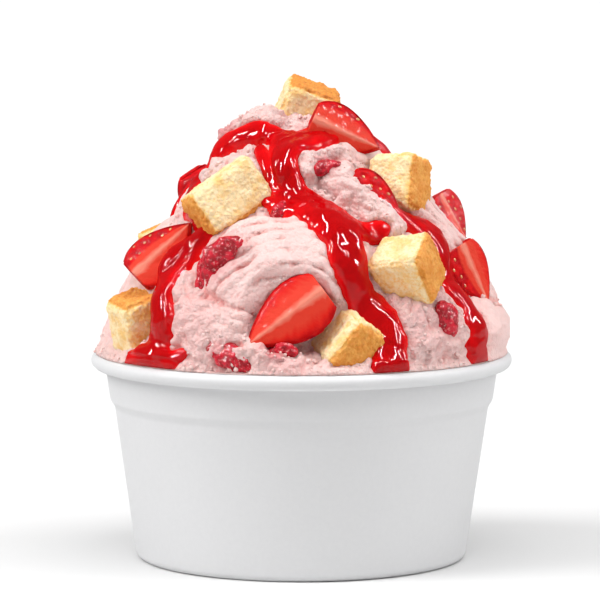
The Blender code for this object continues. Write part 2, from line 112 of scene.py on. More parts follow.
class Noise:
    """Smooth random patterns in space, the same on every run."""

    SIZE = 256
    LEVEL = 1.7
    FINER = 2.03
    FINER_CLUMPS = 2.1

    def __init__(self, seed: int) -> None:
        """Shuffles the tables that the patterns are read from.

        Args:
            seed: Picks the pattern.
        """
        spread = np.random.default_rng(seed)
        self.table = np.tile(spread.permutation(self.SIZE), 2)
        slopes = spread.normal(size=(self.SIZE, 3))
        self.slopes = slopes / np.linalg.norm(slopes, axis=1, keepdims=True)
        self.spots = spread.uniform(0.0, 1.0, size=(self.SIZE, 3))

    def _hash(self, cell: np.ndarray) -> np.ndarray:
        """A place in the tables for each cell of space."""
        last = self.SIZE - 1
        cell = cell & last
        first = self.table[cell[:, 0]]
        second = self.table[(first + cell[:, 1]) & last]
        return self.table[(second + cell[:, 2]) & last]

    def smooth(self, points: np.ndarray) -> np.ndarray:
        """One layer of gradient noise, from about -1 to 1.

        Args:
            points: Places, one per row, in units of the pattern's size.

        Returns:
            One number per place.
        """
        cell = np.floor(points).astype(np.int64)
        inside = points - cell
        ease = inside**3 * (inside * (inside * 6.0 - 15.0) + 10.0)
        total = np.zeros(len(points))
        for corner in np.ndindex(2, 2, 2):
            offset = np.array(corner)
            slope = self.slopes[self._hash(cell + offset)]
            weight = np.prod(np.where(offset == 1, ease, 1.0 - ease), axis=1)
            total += weight * np.einsum("ij,ij->i", slope, inside - offset)
        return total * self.LEVEL

    def layered(self, points: np.ndarray, layers: int, gain: float = 0.5) -> np.ndarray:
        """Sums layers of ever finer noise.

        Args:
            points: Places in units of the coarsest layer.
            layers: How many layers.
            gain: Strength of each layer against the one before.

        Returns:
            One number per place.
        """
        total = np.zeros(len(points))
        for layer in range(layers):
            total += gain**layer * self.smooth(points * self.FINER**layer + 17.0 * layer)
        return total

    def clumps(self, points: np.ndarray, layers: int) -> np.ndarray:
        """Rounded lumps with sharp valleys between them, from about 0 to 1.

        Args:
            points: Places in units of the coarsest lumps.
            layers: How many sizes of lump, each half as strong as the one before.

        Returns:
            One number per place.
        """
        total = np.zeros(len(points))
        for layer in range(layers):
            finer = points * self.FINER_CLUMPS**layer + 31.0 * layer
            total += 0.5**layer * np.abs(self.smooth(finer))
        return total

    def cells(self, points: np.ndarray) -> np.ndarray:
        """Distance to the nearest of many scattered spots, one in each unit of space.

        Args:
            points: Places in units of the spots' spacing.

        Returns:
            One distance per place.
        """
        cell = np.floor(points).astype(np.int64)
        nearest = np.full(len(points), 9.0)
        for corner in np.ndindex(3, 3, 3):
            neighbour = cell + np.array(corner) - 1
            gap = neighbour + self.spots[self._hash(neighbour)] - points
            nearest = np.minimum(nearest, np.einsum("ij,ij->i", gap, gap))
        return np.sqrt(nearest)

    def knobs(self, points: np.ndarray) -> np.ndarray:
        """Round knobs at the scattered spots, from 0 between them to 1 at their tops."""
        return 1.0 - np.minimum(self.cells(points), 1.0) ** 2


class Graph:
    """The node tree of one finish while it is being wired."""

    def __init__(self, name: str) -> None:
        """Starts a material with its standard shader.

        Args:
            name: The material's name.
        """
        self.material = bpy.data.materials.new(name)
        self.material.use_nodes = True
        self.tree = self.material.node_tree
        self.shader = self.tree.nodes["Principled BSDF"]

    def node(self, kind: str, feeds: dict | None = None, **settings: object) -> bpy.types.Node:
        """Adds a node, sets its properties and feeds its inputs.

        Args:
            kind: The node's type.
            feeds: What each input gets, by the input's name or number.
            settings: The node's properties.

        Returns:
            The node.
        """
        made = self.tree.nodes.new(kind)
        for key, value in settings.items():
            setattr(made, key, value)
        for key, value in (feeds or {}).items():
            self.feed(made.inputs[key], value)
        return made

    def feed(self, target: bpy.types.NodeSocket, value: object) -> None:
        """Links an output to an input, or sets the input to a number or a linear colour."""
        if isinstance(value, bpy.types.NodeSocket):
            self.tree.links.new(value, target)
        elif isinstance(value, tuple):
            target.default_value = (*value, 1.0)
        else:
            target.default_value = value

    def set(self, **values: object) -> None:
        """Sets sockets of the shader, named with underscores for spaces."""
        for key, value in values.items():
            self.shader.inputs[key.replace("_", " ")].default_value = value

    def soft(self, weight: float, radius: tuple, depth: float) -> None:
        """Lets light in below the surface: how much, each colour's reach and a depth in mm."""
        self.set(
            Subsurface_Weight=weight, Subsurface_Radius=radius, Subsurface_Scale=depth * MM
        )

    def place(self) -> bpy.types.NodeSocket:
        """The place on the piece, in metres."""
        return self.node("ShaderNodeTexCoord").outputs["Object"]

    def attribute(self, name: str) -> bpy.types.NodeSocket:
        """A number stored on the piece's vertices."""
        return self.node("ShaderNodeAttribute", attribute_name=name).outputs["Fac"]

    def noise(self, size: float, detail: float = 3.0, rough: float = 0.5) -> bpy.types.NodeSocket:
        """A noise pattern with features of a size in mm."""
        feeds = {"Scale": 1.0 / (size * MM), "Detail": detail, "Roughness": rough}
        made = self.node("ShaderNodeTexNoise", {**feeds, "Vector": self.place()})
        return made.outputs["Fac"]

    def cells(self, size: float) -> bpy.types.NodeSocket:
        """Distance from scattered spots that lie a size in mm apart."""
        feeds = {"Scale": 1.0 / (size * MM), "Vector": self.place()}
        return self.node("ShaderNodeTexVoronoi", feeds).outputs["Distance"]

    def ramp(self, factor: bpy.types.NodeSocket, *stops: tuple) -> bpy.types.NodeSocket:
        """Colours read off a scale.

        Args:
            factor: Where to read.
            stops: Pairs of a position and a linear colour.

        Returns:
            The colour socket.
        """
        made = self.node("ShaderNodeValToRGB", {"Fac": factor})
        scale = made.color_ramp
        while len(scale.elements) < len(stops):
            scale.elements.new(0.5)
        for element, (position, colour) in zip(scale.elements, stops):
            element.position = position
            element.color = (*colour, 1.0)
        return made.outputs["Color"]

    def mix(self, factor: object, first: object, second: object) -> bpy.types.NodeSocket:
        """Blends two colours, each a socket or a linear colour."""
        feeds = {0: factor, 6: first, 7: second}
        return self.node("ShaderNodeMix", feeds, data_type="RGBA").outputs[2]

    def math(self, kind: str, *numbers: object) -> bpy.types.NodeSocket:
        """Combines numbers, each a socket or a constant."""
        return self.node("ShaderNodeMath", dict(enumerate(numbers)), operation=kind).outputs[0]

    def fit(self, value: bpy.types.NodeSocket, low: float, high: float) -> bpy.types.NodeSocket:
        """Stretches a range to 0..1."""
        feeds = {"Value": value, "From Min": low, "From Max": high}
        return self.node("ShaderNodeMapRange", feeds).outputs["Result"]

    def bump(self, *layers: tuple) -> None:
        """Stacks bump layers, each a height socket and its depth in mm, on the shader."""
        below = {}
        for height, depth in layers:
            feeds = {"Strength": 1.0, "Distance": depth * MM, "Height": height, **below}
            below = {"Normal": self.node("ShaderNodeBump", feeds).outputs["Normal"]}
        self.feed(self.shader.inputs["Normal"], below["Normal"])

    def colour(self, socket: bpy.types.NodeSocket) -> None:
        """Feeds the shader's colour."""
        self.feed(self.shader.inputs["Base Color"], socket)


@dataclass(frozen=True)
class PaperFinish:
    """White board with a faint fibre grain."""

    white: tuple = (0.675, 0.675, 0.682)
    shade: tuple = (0.662, 0.662, 0.67)

    def material(self) -> bpy.types.Material:
        """Wires the finish."""
        graph = Graph("white_cup_board")
        fibre = graph.noise(1.1, 4.0, 0.6)
        graph.colour(graph.ramp(fibre, (0.35, self.shade), (0.65, self.white)))
        graph.feed(
            graph.shader.inputs["Roughness"], graph.math("MULTIPLY_ADD", fibre, 0.10, 0.50)
        )
        graph.set(Specular_IOR_Level=0.25)
        graph.bump((graph.noise(0.6, 3.0, 0.6), 0.010), (graph.noise(9.0, 2.0), 0.03))
        return graph.material


@dataclass(frozen=True)
class IceCreamFinish:
    """Pale pink ice cream, with painted shade that makes it darker and pinker in its pits, grooves,
    creases and the gaps between crumbs, and redder where fruit stained it.
    """

    pale: tuple = (0.80, 0.555, 0.525)
    body: tuple = (0.82, 0.43, 0.395)
    # pit: the darker pinker colour that paints shade into pits, grooves, creases and gaps between
    # crumbs
    pit: tuple = (0.74, 0.22, 0.20)
    stain: tuple = (0.58, 0.02, 0.045)

    def material(self) -> bpy.types.Material:
        """Wires the finish."""
        graph = Graph("strawberry_ice_cream")
        rough = graph.attribute("rough")
        # Painted shade between crumbs: the gaps between the spots read low and take the pinker pit
        # colour; the same pattern also bumps the surface
        crumb = graph.math("SUBTRACT", 0.5, graph.cells(0.85))
        crumb = graph.math("MULTIPLY", crumb, rough)
        mottle = graph.noise(1.0, 4.0, 0.65)
        mottle = graph.math("MULTIPLY_ADD", mottle, 0.42, graph.attribute("height"))
        height = graph.math("MULTIPLY_ADD", crumb, 0.30, mottle)
        # The ramp paints shade: low places get the darker pinker pit and body colours, high places
        # the pale colour
        shaded_cream = graph.ramp(height, (0.26, self.pit), (0.58, self.body), (0.86, self.pale))
        graph.colour(graph.mix(graph.attribute("stain"), shaded_cream, self.stain))
        graph.set(Roughness=0.5, Specular_IOR_Level=0.2)
        graph.soft(0.30, (1.0, 0.45, 0.40), 0.8)
        fine = graph.math("MULTIPLY", graph.noise(0.5, 3.0, 0.7), graph.math("ADD", rough, 0.25))
        graph.bump((fine, 0.30), (crumb, 0.34), (graph.noise(1.6, 2.0), 0.16))
        return graph.material


@dataclass(frozen=True)
class SauceFinish:
    """Glossy strawberry sauce, brighter where it is thin."""

    thin: tuple = (0.82, 0.014, 0.012)
    body: tuple = (0.68, 0.002, 0.004)
    deep: tuple = (0.42, 0.0008, 0.002)

    def material(self) -> bpy.types.Material:
        """Wires the finish."""
        graph = Graph("strawberry_sauce")
        cloud = graph.math("MULTIPLY_ADD", graph.noise(4.5, 2.0), 1.30, -0.45)
        depth = graph.math("ADD", graph.attribute("depth"), cloud)
        graph.colour(graph.ramp(depth, (0.10, self.thin), (0.45, self.body), (1.0, self.deep)))
        graph.set(Roughness=0.25, Specular_IOR_Level=0.0)
        graph.set(Coat_Weight=0.45, Coat_Roughness=0.02, Coat_IOR=1.5)
        graph.soft(0.15, (1.0, 0.05, 0.05), 1.0)
        graph.bump((graph.noise(2.1, 1.5, 0.4), 0.34),)
        return graph.material


@dataclass(frozen=True)
class CakeFinish:
    """Yellow sponge with a browned crust, with painted shade darkening its pores."""

    crumb: tuple = (0.92, 0.735, 0.44)
    # pore: painted shade for the pores, also used for random darker flecks and patches
    pore: tuple = (0.86, 0.54, 0.19)
    gold: tuple = (0.89, 0.50, 0.12)
    crust: tuple = (0.70, 0.25, 0.03)

    def material(self) -> bpy.types.Material:
        """Wires the finish."""
        graph = Graph("toasted_sponge")
        speck = graph.noise(0.75, 4.0, 0.7)
        # Painted shade: the pores take the darker pore colour; the two mixes after it add random
        # flecks and patches of that colour
        crumb = graph.mix(graph.fit(graph.attribute("pore"), 0.1, 1.0), self.crumb, self.pore)
        crumb = graph.mix(graph.fit(speck, 0.50, 0.78), crumb, self.pore)
        crumb = graph.mix(graph.fit(graph.noise(3.2, 2.0), 0.46, 0.70), crumb, self.pore)
        uneven = graph.math("MULTIPLY_ADD", speck, 0.9, -0.45)
        toast = graph.math("ADD", graph.attribute("toast"), uneven)
        browned = graph.ramp(toast, (0.30, self.gold), (0.95, self.crust))
        graph.colour(graph.mix(graph.fit(toast, 0.12, 0.52), crumb, browned))
        graph.set(Roughness=0.75, Specular_IOR_Level=0.25)
        graph.soft(0.25, (1.0, 0.6, 0.25), 0.8)
        crumbs = graph.math("SUBTRACT", 1.0, graph.cells(0.75))
        graph.bump((graph.noise(0.35, 3.0, 0.7), 0.16), (crumbs, 0.22))
        return graph.material


@dataclass(frozen=True)
class BerryFinish:
    """Strawberry: red seeded skin outside, paler rayed flesh on the cuts."""

    skin: tuple = (0.44, 0.002, 0.006)
    glow: tuple = (0.70, 0.006, 0.008)
    rim: tuple = (0.52, 0.002, 0.003)
    flesh: tuple = (0.68, 0.014, 0.008)
    heart: tuple = (0.70, 0.046, 0.024)
    core: tuple = (0.77, 0.23, 0.16)

    def material(self) -> bpy.types.Material:
        """Wires the finish."""
        graph = Graph("cut_strawberry")
        spread = graph.math("ADD", graph.attribute("radial"), graph.attribute("ray"))
        flesh = graph.ramp(
            spread,
            (0.02, self.core),
            (0.17, self.heart),
            (0.42, self.heart),
            (0.66, self.flesh),
            (0.86, self.rim),
        )
        skin = graph.ramp(graph.noise(2.2, 3.0), (0.38, self.skin), (0.66, self.glow))
        graph.colour(graph.mix(graph.attribute("cut"), skin, flesh))
        graph.set(
            Roughness=0.45, Specular_IOR_Level=0.03, Coat_Weight=0.09, Coat_Roughness=0.05
        )
        graph.soft(0.15, (1.0, 0.15, 0.10), 1.0)
        graph.bump((graph.noise(0.8, 3.0, 0.6), 0.16),)
        return graph.material


@dataclass(frozen=True)
class ChunkFinish:
    """Crushed strawberry, wet and icy, with pale specks that are partly ice crystals and partly
    painted glints.
    """

    deep: tuple = (0.34, 0.002, 0.010)
    bright: tuple = (0.60, 0.010, 0.028)
    frost_and_glint: tuple = (0.84, 0.34, 0.34)

    def material(self) -> bpy.types.Material:
        """Wires the finish."""
        graph = Graph("crushed_strawberry")
        fruit = graph.ramp(graph.attribute("height"), (0.25, self.deep), (0.75, self.bright))
        # Pale specks at random: partly ice crystals, partly painted glints
        frost_and_glint = graph.fit(graph.noise(0.7, 3.0, 0.6), 0.56, 0.68)
        graph.colour(graph.mix(graph.math("MULTIPLY", frost_and_glint, 0.60), fruit, self.frost_and_glint))
        graph.set(
            Roughness=0.35, Specular_IOR_Level=0.05, Coat_Weight=0.45, Coat_Roughness=0.08
        )
        graph.soft(0.15, (1.0, 0.15, 0.12), 0.8)
        graph.bump((graph.noise(0.55, 3.0, 0.65), 0.36),)
        return graph.material


@dataclass(frozen=True)
class SeedFinish:
    """Small golden seeds."""

    light: tuple = (0.78, 0.36, 0.10)
    dark: tuple = (0.50, 0.10, 0.02)

    def material(self) -> bpy.types.Material:
        """Wires the finish."""
        graph = Graph("strawberry_seed")
        graph.colour(graph.ramp(graph.noise(1.5, 2.0), (0.35, self.dark), (0.6, self.light)))
        graph.set(Roughness=0.3, Coat_Weight=0.5, Coat_Roughness=0.1)
        return graph.material


@dataclass(frozen=True)
class FloorFinish:
    """Plain pale floor."""

    colour: tuple = (0.71, 0.71, 0.71)

    def material(self) -> bpy.types.Material:
        """Wires the finish."""
        graph = Graph("pale_floor")
        graph.set(Base_Color=(*self.colour, 1.0), Roughness=0.9, Specular_IOR_Level=0.1)
        return graph.material


def add_numbers(mesh: bpy.types.Mesh, **numbers: np.ndarray) -> None:
    """Stores named numbers on a mesh's vertices."""
    for name, values in numbers.items():
        layer = mesh.attributes.new(name, "FLOAT", "POINT")
        layer.data.foreach_set("value", np.asarray(values, dtype=np.float32).ravel())


def get_points(mesh: bpy.types.Mesh) -> np.ndarray:
    """The places of a mesh's vertices, in mm."""
    flat = np.empty(3 * len(mesh.vertices))
    mesh.vertices.foreach_get("co", flat)
    return flat.reshape(-1, 3) / MM


def set_points(mesh: bpy.types.Mesh, points: np.ndarray) -> None:
    """Moves a mesh's vertices to places in mm."""
    mesh.vertices.foreach_set("co", (points * MM).ravel())
    mesh.update()


def get_normals(mesh: bpy.types.Mesh) -> np.ndarray:
    """The outward ways of a mesh's vertices."""
    flat = np.empty(3 * len(mesh.vertices))
    mesh.vertex_normals.foreach_get("vector", flat)
    return flat.reshape(-1, 3)


def meshed(shape: bmesh.types.BMesh, mesh: bpy.types.Mesh | None = None) -> bpy.types.Mesh:
    """Writes a shape into a mesh, a new one where none is given, and lets the shape go."""
    mesh = mesh or bpy.data.meshes.new("shape")
    shape.to_mesh(mesh)
    shape.free()
    return mesh


def welded(mesh: bpy.types.Mesh) -> bmesh.types.BMesh:
    """Opens a bent grid as a shape with its seams closed."""
    shape = bmesh.new()
    shape.from_mesh(mesh)
    bmesh.ops.remove_doubles(shape, verts=shape.verts, dist=WELD)
    return shape


def add_object(name: str, data: bpy.types.ID | None) -> bpy.types.Object:
    """Adds a mesh, light or camera to the scene."""
    made = bpy.data.objects.new(name, data)
    bpy.context.scene.collection.objects.link(made)
    return made


def way_to(azimuth: np.ndarray) -> np.ndarray:
    """Level unit vectors towards azimuths in degrees."""
    turn = np.radians(azimuth)
    return np.stack([np.sin(turn), -np.cos(turn), np.zeros_like(turn)], axis=-1)


def turn_to(up: Vector, facing: Vector) -> Matrix:
    """The turn that lays Z along a way up and X straight away from a way to face."""
    back = -facing
    back = (back - up * back.dot(up)).normalized()
    return Matrix((back, up.cross(back), up)).transposed()


def add_piece(
    name: str,
    mesh: bpy.types.Mesh,
    material: bpy.types.Material,
    stands_for: tuple = (),
) -> bpy.types.Object:
    """Adds a finished mesh to the scene as a piece that rides on the cup.

    Args:
        name: The piece's name.
        mesh: Its mesh, in metres and in place.
        material: Its finish.
        stands_for: The CAD nodes that it replaces.

    Returns:
        The object.
    """
    mesh.name = name
    mesh.shade_smooth()
    mesh.materials.clear()
    mesh.materials.append(material)
    piece = add_object(name, mesh)
    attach(piece, BODY)
    if stands_for:
        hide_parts(*stands_for)
    LOG.info("%s: %d faces", name, len(mesh.polygons))
    return piece


class Sheet:
    """A flat grid of faces that is bent into shape by moving its vertices."""

    def __init__(self, columns: int, rows: int) -> None:
        """Makes the grid.

        Args:
            columns: Faces across.
            rows: Faces up.
        """
        shape = bmesh.new()
        bmesh.ops.create_grid(shape, x_segments=columns, y_segments=rows, size=1.0)
        self.mesh = meshed(shape)
        flat = get_points(self.mesh) * MM
        across = np.rint((flat[:, 0] + 1.0) / 2.0 * columns).astype(int)
        up = np.rint((flat[:, 1] + 1.0) / 2.0 * rows).astype(int)
        self.order = up * (columns + 1) + across

    def bend(self, points: np.ndarray, **numbers: np.ndarray) -> bpy.types.Mesh:
        """Moves the grid's vertices and stores numbers on them.

        Args:
            points: Places in mm, as rows of columns of x, y, z.
            numbers: Named numbers, as rows of columns.

        Returns:
            The bent mesh.
        """
        set_points(self.mesh, points.reshape(-1, 3)[self.order])
        ordered = {name: value.ravel()[self.order] for name, value in numbers.items()}
        add_numbers(self.mesh, **ordered)
        return self.mesh


@dataclass(frozen=True)
class Fold:
    """One fold of ice cream, a ridge from one place on the mound to another.

    The places are azimuth and height; half_width and bulge are in mm. Its grooves run along
    it, or round the swirl place where one is given.
    """

    start: tuple
    end: tuple
    half_width: float
    bulge: float
    texture: Texture
    swirl: tuple = ()


@dataclass(frozen=True)
class Mound:
    """The heap of ice cream above the rim: the plain mound, its folds and its hollows.

    A hollow is an azimuth and a height, and a half width and depth in mm.
    """

    cup_height: float = 47.2
    radius: float = 47.2
    height: float = 55.8
    shoulder: float = 1.4
    power: float = 0.7
    skin_depth: float = 3.0
    skin_run: float = 7.0
    lip_skin: float = 0.05
    fold_power: float = 0.6
    reach: float = 47.6
    lip_height: float = 0.35
    lip_start: float = 0.9
    lip_blend: float = 4.0
    crease_width: float = 0.7
    folds: tuple = (
        Fold((-22, 22), (6, 25), 12.0, 5.2, Texture.STREAKED, (-4, 7)),
        Fold((-66, 22), (-68, 11), 9.5, 3.0, Texture.SMOOTH),
        Fold((-82, 47), (-62, 50.5), 6.0, 5.2, Texture.CRUMBLY),
        Fold((-50, 44), (-30, 45), 6.0, 1.8, Texture.CRUMBLY),
        Fold((-60, 41), (-30, 43), 7.0, 2.8, Texture.TORN),
        Fold((-4, 43), (20, 44), 5.5, 4.0, Texture.CRUMBLY),
        Fold((22, 41), (40, 30), 4.6, 4.4, Texture.TENDER),
        Fold((72, 36), (84, 12), 8.0, 4.4, Texture.STREAKED),
        Fold((-42, 14), (-24, 8), 8.0, 3.6, Texture.TORN),
        Fold((-17, 4), (-3, 2), 5.0, 3.2, Texture.TORN),
        Fold((38, 9), (52, 9), 8.5, 4.2, Texture.CRUMBLY),
        Fold((74, 6), (90, 6), 8.5, 4.8, Texture.SMOOTH),
        Fold((44, 22), (62, 27), 7.0, 2.8, Texture.SMOOTH),
        Fold((60, 48), (100, 42), 7.0, 2.6, Texture.SMOOTH),
        Fold((100, 30), (125, 36), 9.0, 3.2, Texture.STREAKED),
        Fold((104, 16), (128, 10), 10.0, 4.0, Texture.TORN),
        Fold((-90, 24), (-95, 8), 9.0, 1.8, Texture.STREAKED),
        Fold((140, 26), (165, 20), 10.5, 4.4, Texture.STREAKED, (150, 8)),
        Fold((150, 42), (190, 40), 8.5, 3.4, Texture.CRUMBLY),
        Fold((150, 6), (175, 5), 8.0, 3.6, Texture.CRUMBLY),
        Fold((186, 30), (205, 24), 9.5, 4.2, Texture.SMOOTH),
        Fold((190, 10), (214, 8), 9.0, 4.2, Texture.TORN),
        Fold((218, 38), (240, 34), 9.0, 3.4, Texture.STREAKED),
        Fold((222, 20), (240, 14), 9.5, 4.2, Texture.CRUMBLY),
        Fold((215, 48), (260, 46), 7.0, 2.6, Texture.SMOOTH),
    )
    hollows: tuple = (
        (-4, 12, 10.5, 4.0),
        (9, 5.5, 11.0, 5.6),
        (40, 38, 6.0, 1.5),
        (-64, 9, 10.0, 4.0),
        (76, 18, 6.5, 1.9),
    )

    def profile(self, height: np.ndarray) -> tuple[np.ndarray, np.ndarray]:
        """Radius of the plain mound and its outward slope at heights above the rim."""
        share = np.clip(height / self.height, 0.0, 0.9999)
        fill = 1.0 - share**self.shoulder
        skin = self.skin_depth * np.minimum(1.0, self.lip_skin + height / self.skin_run)
        radius = self.radius * fill**self.power - skin * (1.0 - share**8)
        fall = (
            -self.radius * self.power * fill ** (self.power - 1.0)
            * self.shoulder * share ** (self.shoulder - 1.0) / self.height
        )
        return np.maximum(radius, 0.0), fall

    def base(self, azimuth: np.ndarray, height: np.ndarray) -> tuple[np.ndarray, np.ndarray]:
        """Places on the plain mound and the ways out of it there.

        Args:
            azimuth: Azimuths in degrees.
            height: Heights above the rim in mm.

        Returns:
            The places in mm and unit vectors, each with a last axis of 3.
        """
        radius, fall = self.profile(height)
        outward = way_to(azimuth)
        place = outward * radius[..., None]
        place[..., 2] = self.cup_height + height
        outward[..., 2] = -fall
        outward /= np.linalg.norm(outward, axis=-1, keepdims=True)
        return place, outward

    def spot(self, azimuth: float, height: float) -> np.ndarray:
        """One place on the plain mound."""
        return self.base(np.array(float(azimuth)), np.array(float(height)))[0]

    def heights(self, rows: int) -> np.ndarray:
        """Heights of rows that lie evenly along the mound's profile, lip first, crown last."""
        climb = np.sin(np.linspace(0.0, math.pi / 2, 1200))
        height = self.lip_height + (self.height - self.lip_height) * climb
        radius = self.profile(height)[0]
        steps = np.hypot(np.diff(radius), np.diff(height))
        length = np.concatenate([[0.0], np.cumsum(steps)])
        return np.interp(np.linspace(0.0, length[-1], rows), length, height)

    def relief(self, base: np.ndarray, outward: np.ndarray) -> dict[str, np.ndarray]:
        """What the folds and hollows do at places on the plain mound.

        Args:
            base: Places, one per row, in mm.
            outward: The ways out there.

        Returns:
            The lift, the texture amounts, the distance across the grooves and how near a
            crease between two folds each place is.
        """
        count = len(base)
        lift = np.zeros(count)
        second = np.zeros(count)
        style = np.tile(np.array(Texture.TORN.value), (count, 1))
        across = base[:, 2].copy()
        for fold in self.folds:
            start = self.spot(*fold.start)
            along = self.spot(*fold.end) - start
            share = np.clip((base - start) @ along / (along @ along), 0.0, 1.0)
            offset = base - start - share[:, None] * along
            reach = np.linalg.norm(offset, axis=1) / fold.half_width
            bulge = fold.bulge * np.clip(1.0 - reach**2, 0.0, 1.0) ** self.fold_power
            wins = bulge > lift
            second = np.where(wins, lift, np.maximum(second, bulge))
            lift = np.where(wins, bulge, lift)
            style[wins] = fold.texture.value
            if fold.swirl:
                grooves = np.linalg.norm(base - self.spot(*fold.swirl), axis=1)
            else:
                side = np.cross(along / np.linalg.norm(along), outward)
                grooves = np.einsum("ij,ij->i", offset, side)
            across = np.where(wins, grooves, across)
        crease = np.exp(-(((lift - second) / self.crease_width) ** 2)) * (second > 0.05)
        for azimuth, height, half_width, depth in self.hollows:
            reach = np.linalg.norm(base - self.spot(azimuth, height), axis=1) / half_width
            lift = lift - depth * np.clip(1.0 - reach**2, 0.0, 1.0)
        return {"lift": lift, "style": style, "across": across, "crease": crease}

    def keep_in(self, points: np.ndarray) -> np.ndarray:
        """Keeps places inside the rim's radius and above the rim's top."""
        out = np.linalg.norm(points[..., :2], axis=-1, keepdims=True)
        points[..., :2] *= np.minimum(1.0, self.reach / np.maximum(out, TINY))
        points[..., 2] = np.maximum(points[..., 2], self.lowest)
        return points

    @property
    def lowest(self) -> float:
        """The height that the heap keeps above, just over the top of the rim."""
        return self.cup_height + 0.05

    def rise(self, height: np.ndarray) -> np.ndarray:
        """How much of the folds' lift counts at heights above the rim, from 0 to 1."""
        return np.clip((height - self.lip_start) / self.lip_blend, 0.0, 1.0)


def grid_normals(points: np.ndarray) -> np.ndarray:
    """The ways out of a closed ring of grid columns, whose last column repeats its first."""
    ring = points[:, :-1]
    across = np.roll(ring, -1, axis=1) - np.roll(ring, 1, axis=1)
    up = np.gradient(ring, axis=0)
    normal = np.cross(across, up)
    size = np.linalg.norm(normal, axis=-1, keepdims=True)
    normal = np.where(size > TINY, normal / np.maximum(size, TINY), np.array([0.0, 0.0, 1.0]))
    return np.concatenate([normal, normal[:, :1]], axis=1)


def blur(values: np.ndarray, passes: int) -> np.ndarray:
    """Softens numbers on a closed ring of grid columns."""
    for _ in range(passes):
        ring = values[:, :-1]
        ring = (np.roll(ring, 1, axis=1) + ring * 2.0 + np.roll(ring, -1, axis=1)) / 4.0
        rows = np.concatenate([ring[:1], ring, ring[-1:]])
        ring = (rows[:-2] + rows[1:-1] * 2.0 + rows[2:]) / 4.0
        values = np.concatenate([ring, ring[:, :1]], axis=1)
    return values


@dataclass
class MoundGrid:
    """The folded surface of the mound, worked out on a grid.

    The arrays hold, per row and column, the azimuth, the height, the place on the plain mound,
    the place on the folded one, the way out and the rest of what the folds say there. The ice
    cream adds how far inside the sauce and how rough each place is.
    """

    mound: Mound
    columns: int
    rows: int
    uneven: float = 0.5
    uneven_size: float = 6.0
    azimuth: np.ndarray = field(init=False)
    height: np.ndarray = field(init=False)
    base: np.ndarray = field(init=False)
    points: np.ndarray = field(init=False)
    normals: np.ndarray = field(init=False)
    style: np.ndarray = field(init=False)
    across: np.ndarray = field(init=False)
    crease: np.ndarray = field(init=False)
    cover: np.ndarray = field(init=False)
    rough: np.ndarray = field(init=False)

    def __post_init__(self) -> None:
        """Works out the surface."""
        azimuth = np.linspace(-180.0, 180.0, self.columns + 1)
        height = self.mound.heights(self.rows + 1)
        self.azimuth, self.height = np.meshgrid(azimuth, height)
        self.base, outward = self.mound.base(self.azimuth, self.height)
        flat = self.base.reshape(-1, 3)
        facts = self.mound.relief(flat, outward.reshape(-1, 3))
        size = self.azimuth.shape
        lift = facts["lift"] + self.uneven * Noise(3).smooth(flat / self.uneven_size)
        lift = lift.reshape(size) * self.mound.rise(self.height)
        self.points = self.kept(self.base + outward * lift[..., None])
        self.normals = grid_normals(blur(self.points, 3))
        self.style = blur(facts["style"].reshape(*size, -1), 6)
        self.across = facts["across"].reshape(size)
        self.crease = facts["crease"].reshape(size)

    def kept(self, points: np.ndarray) -> np.ndarray:
        """Keeps places where the mound may be, with the last column on the first."""
        points = self.mound.keep_in(points)
        points[:, -1] = points[:, 0]
        return points

    def eased(self, reach: float) -> np.ndarray:
        """The surface with everything finer than a reach in mm smoothed away."""
        spacing = math.tau * 42.0 / self.columns
        return blur(self.points, round(2.0 * (reach / spacing) ** 2))


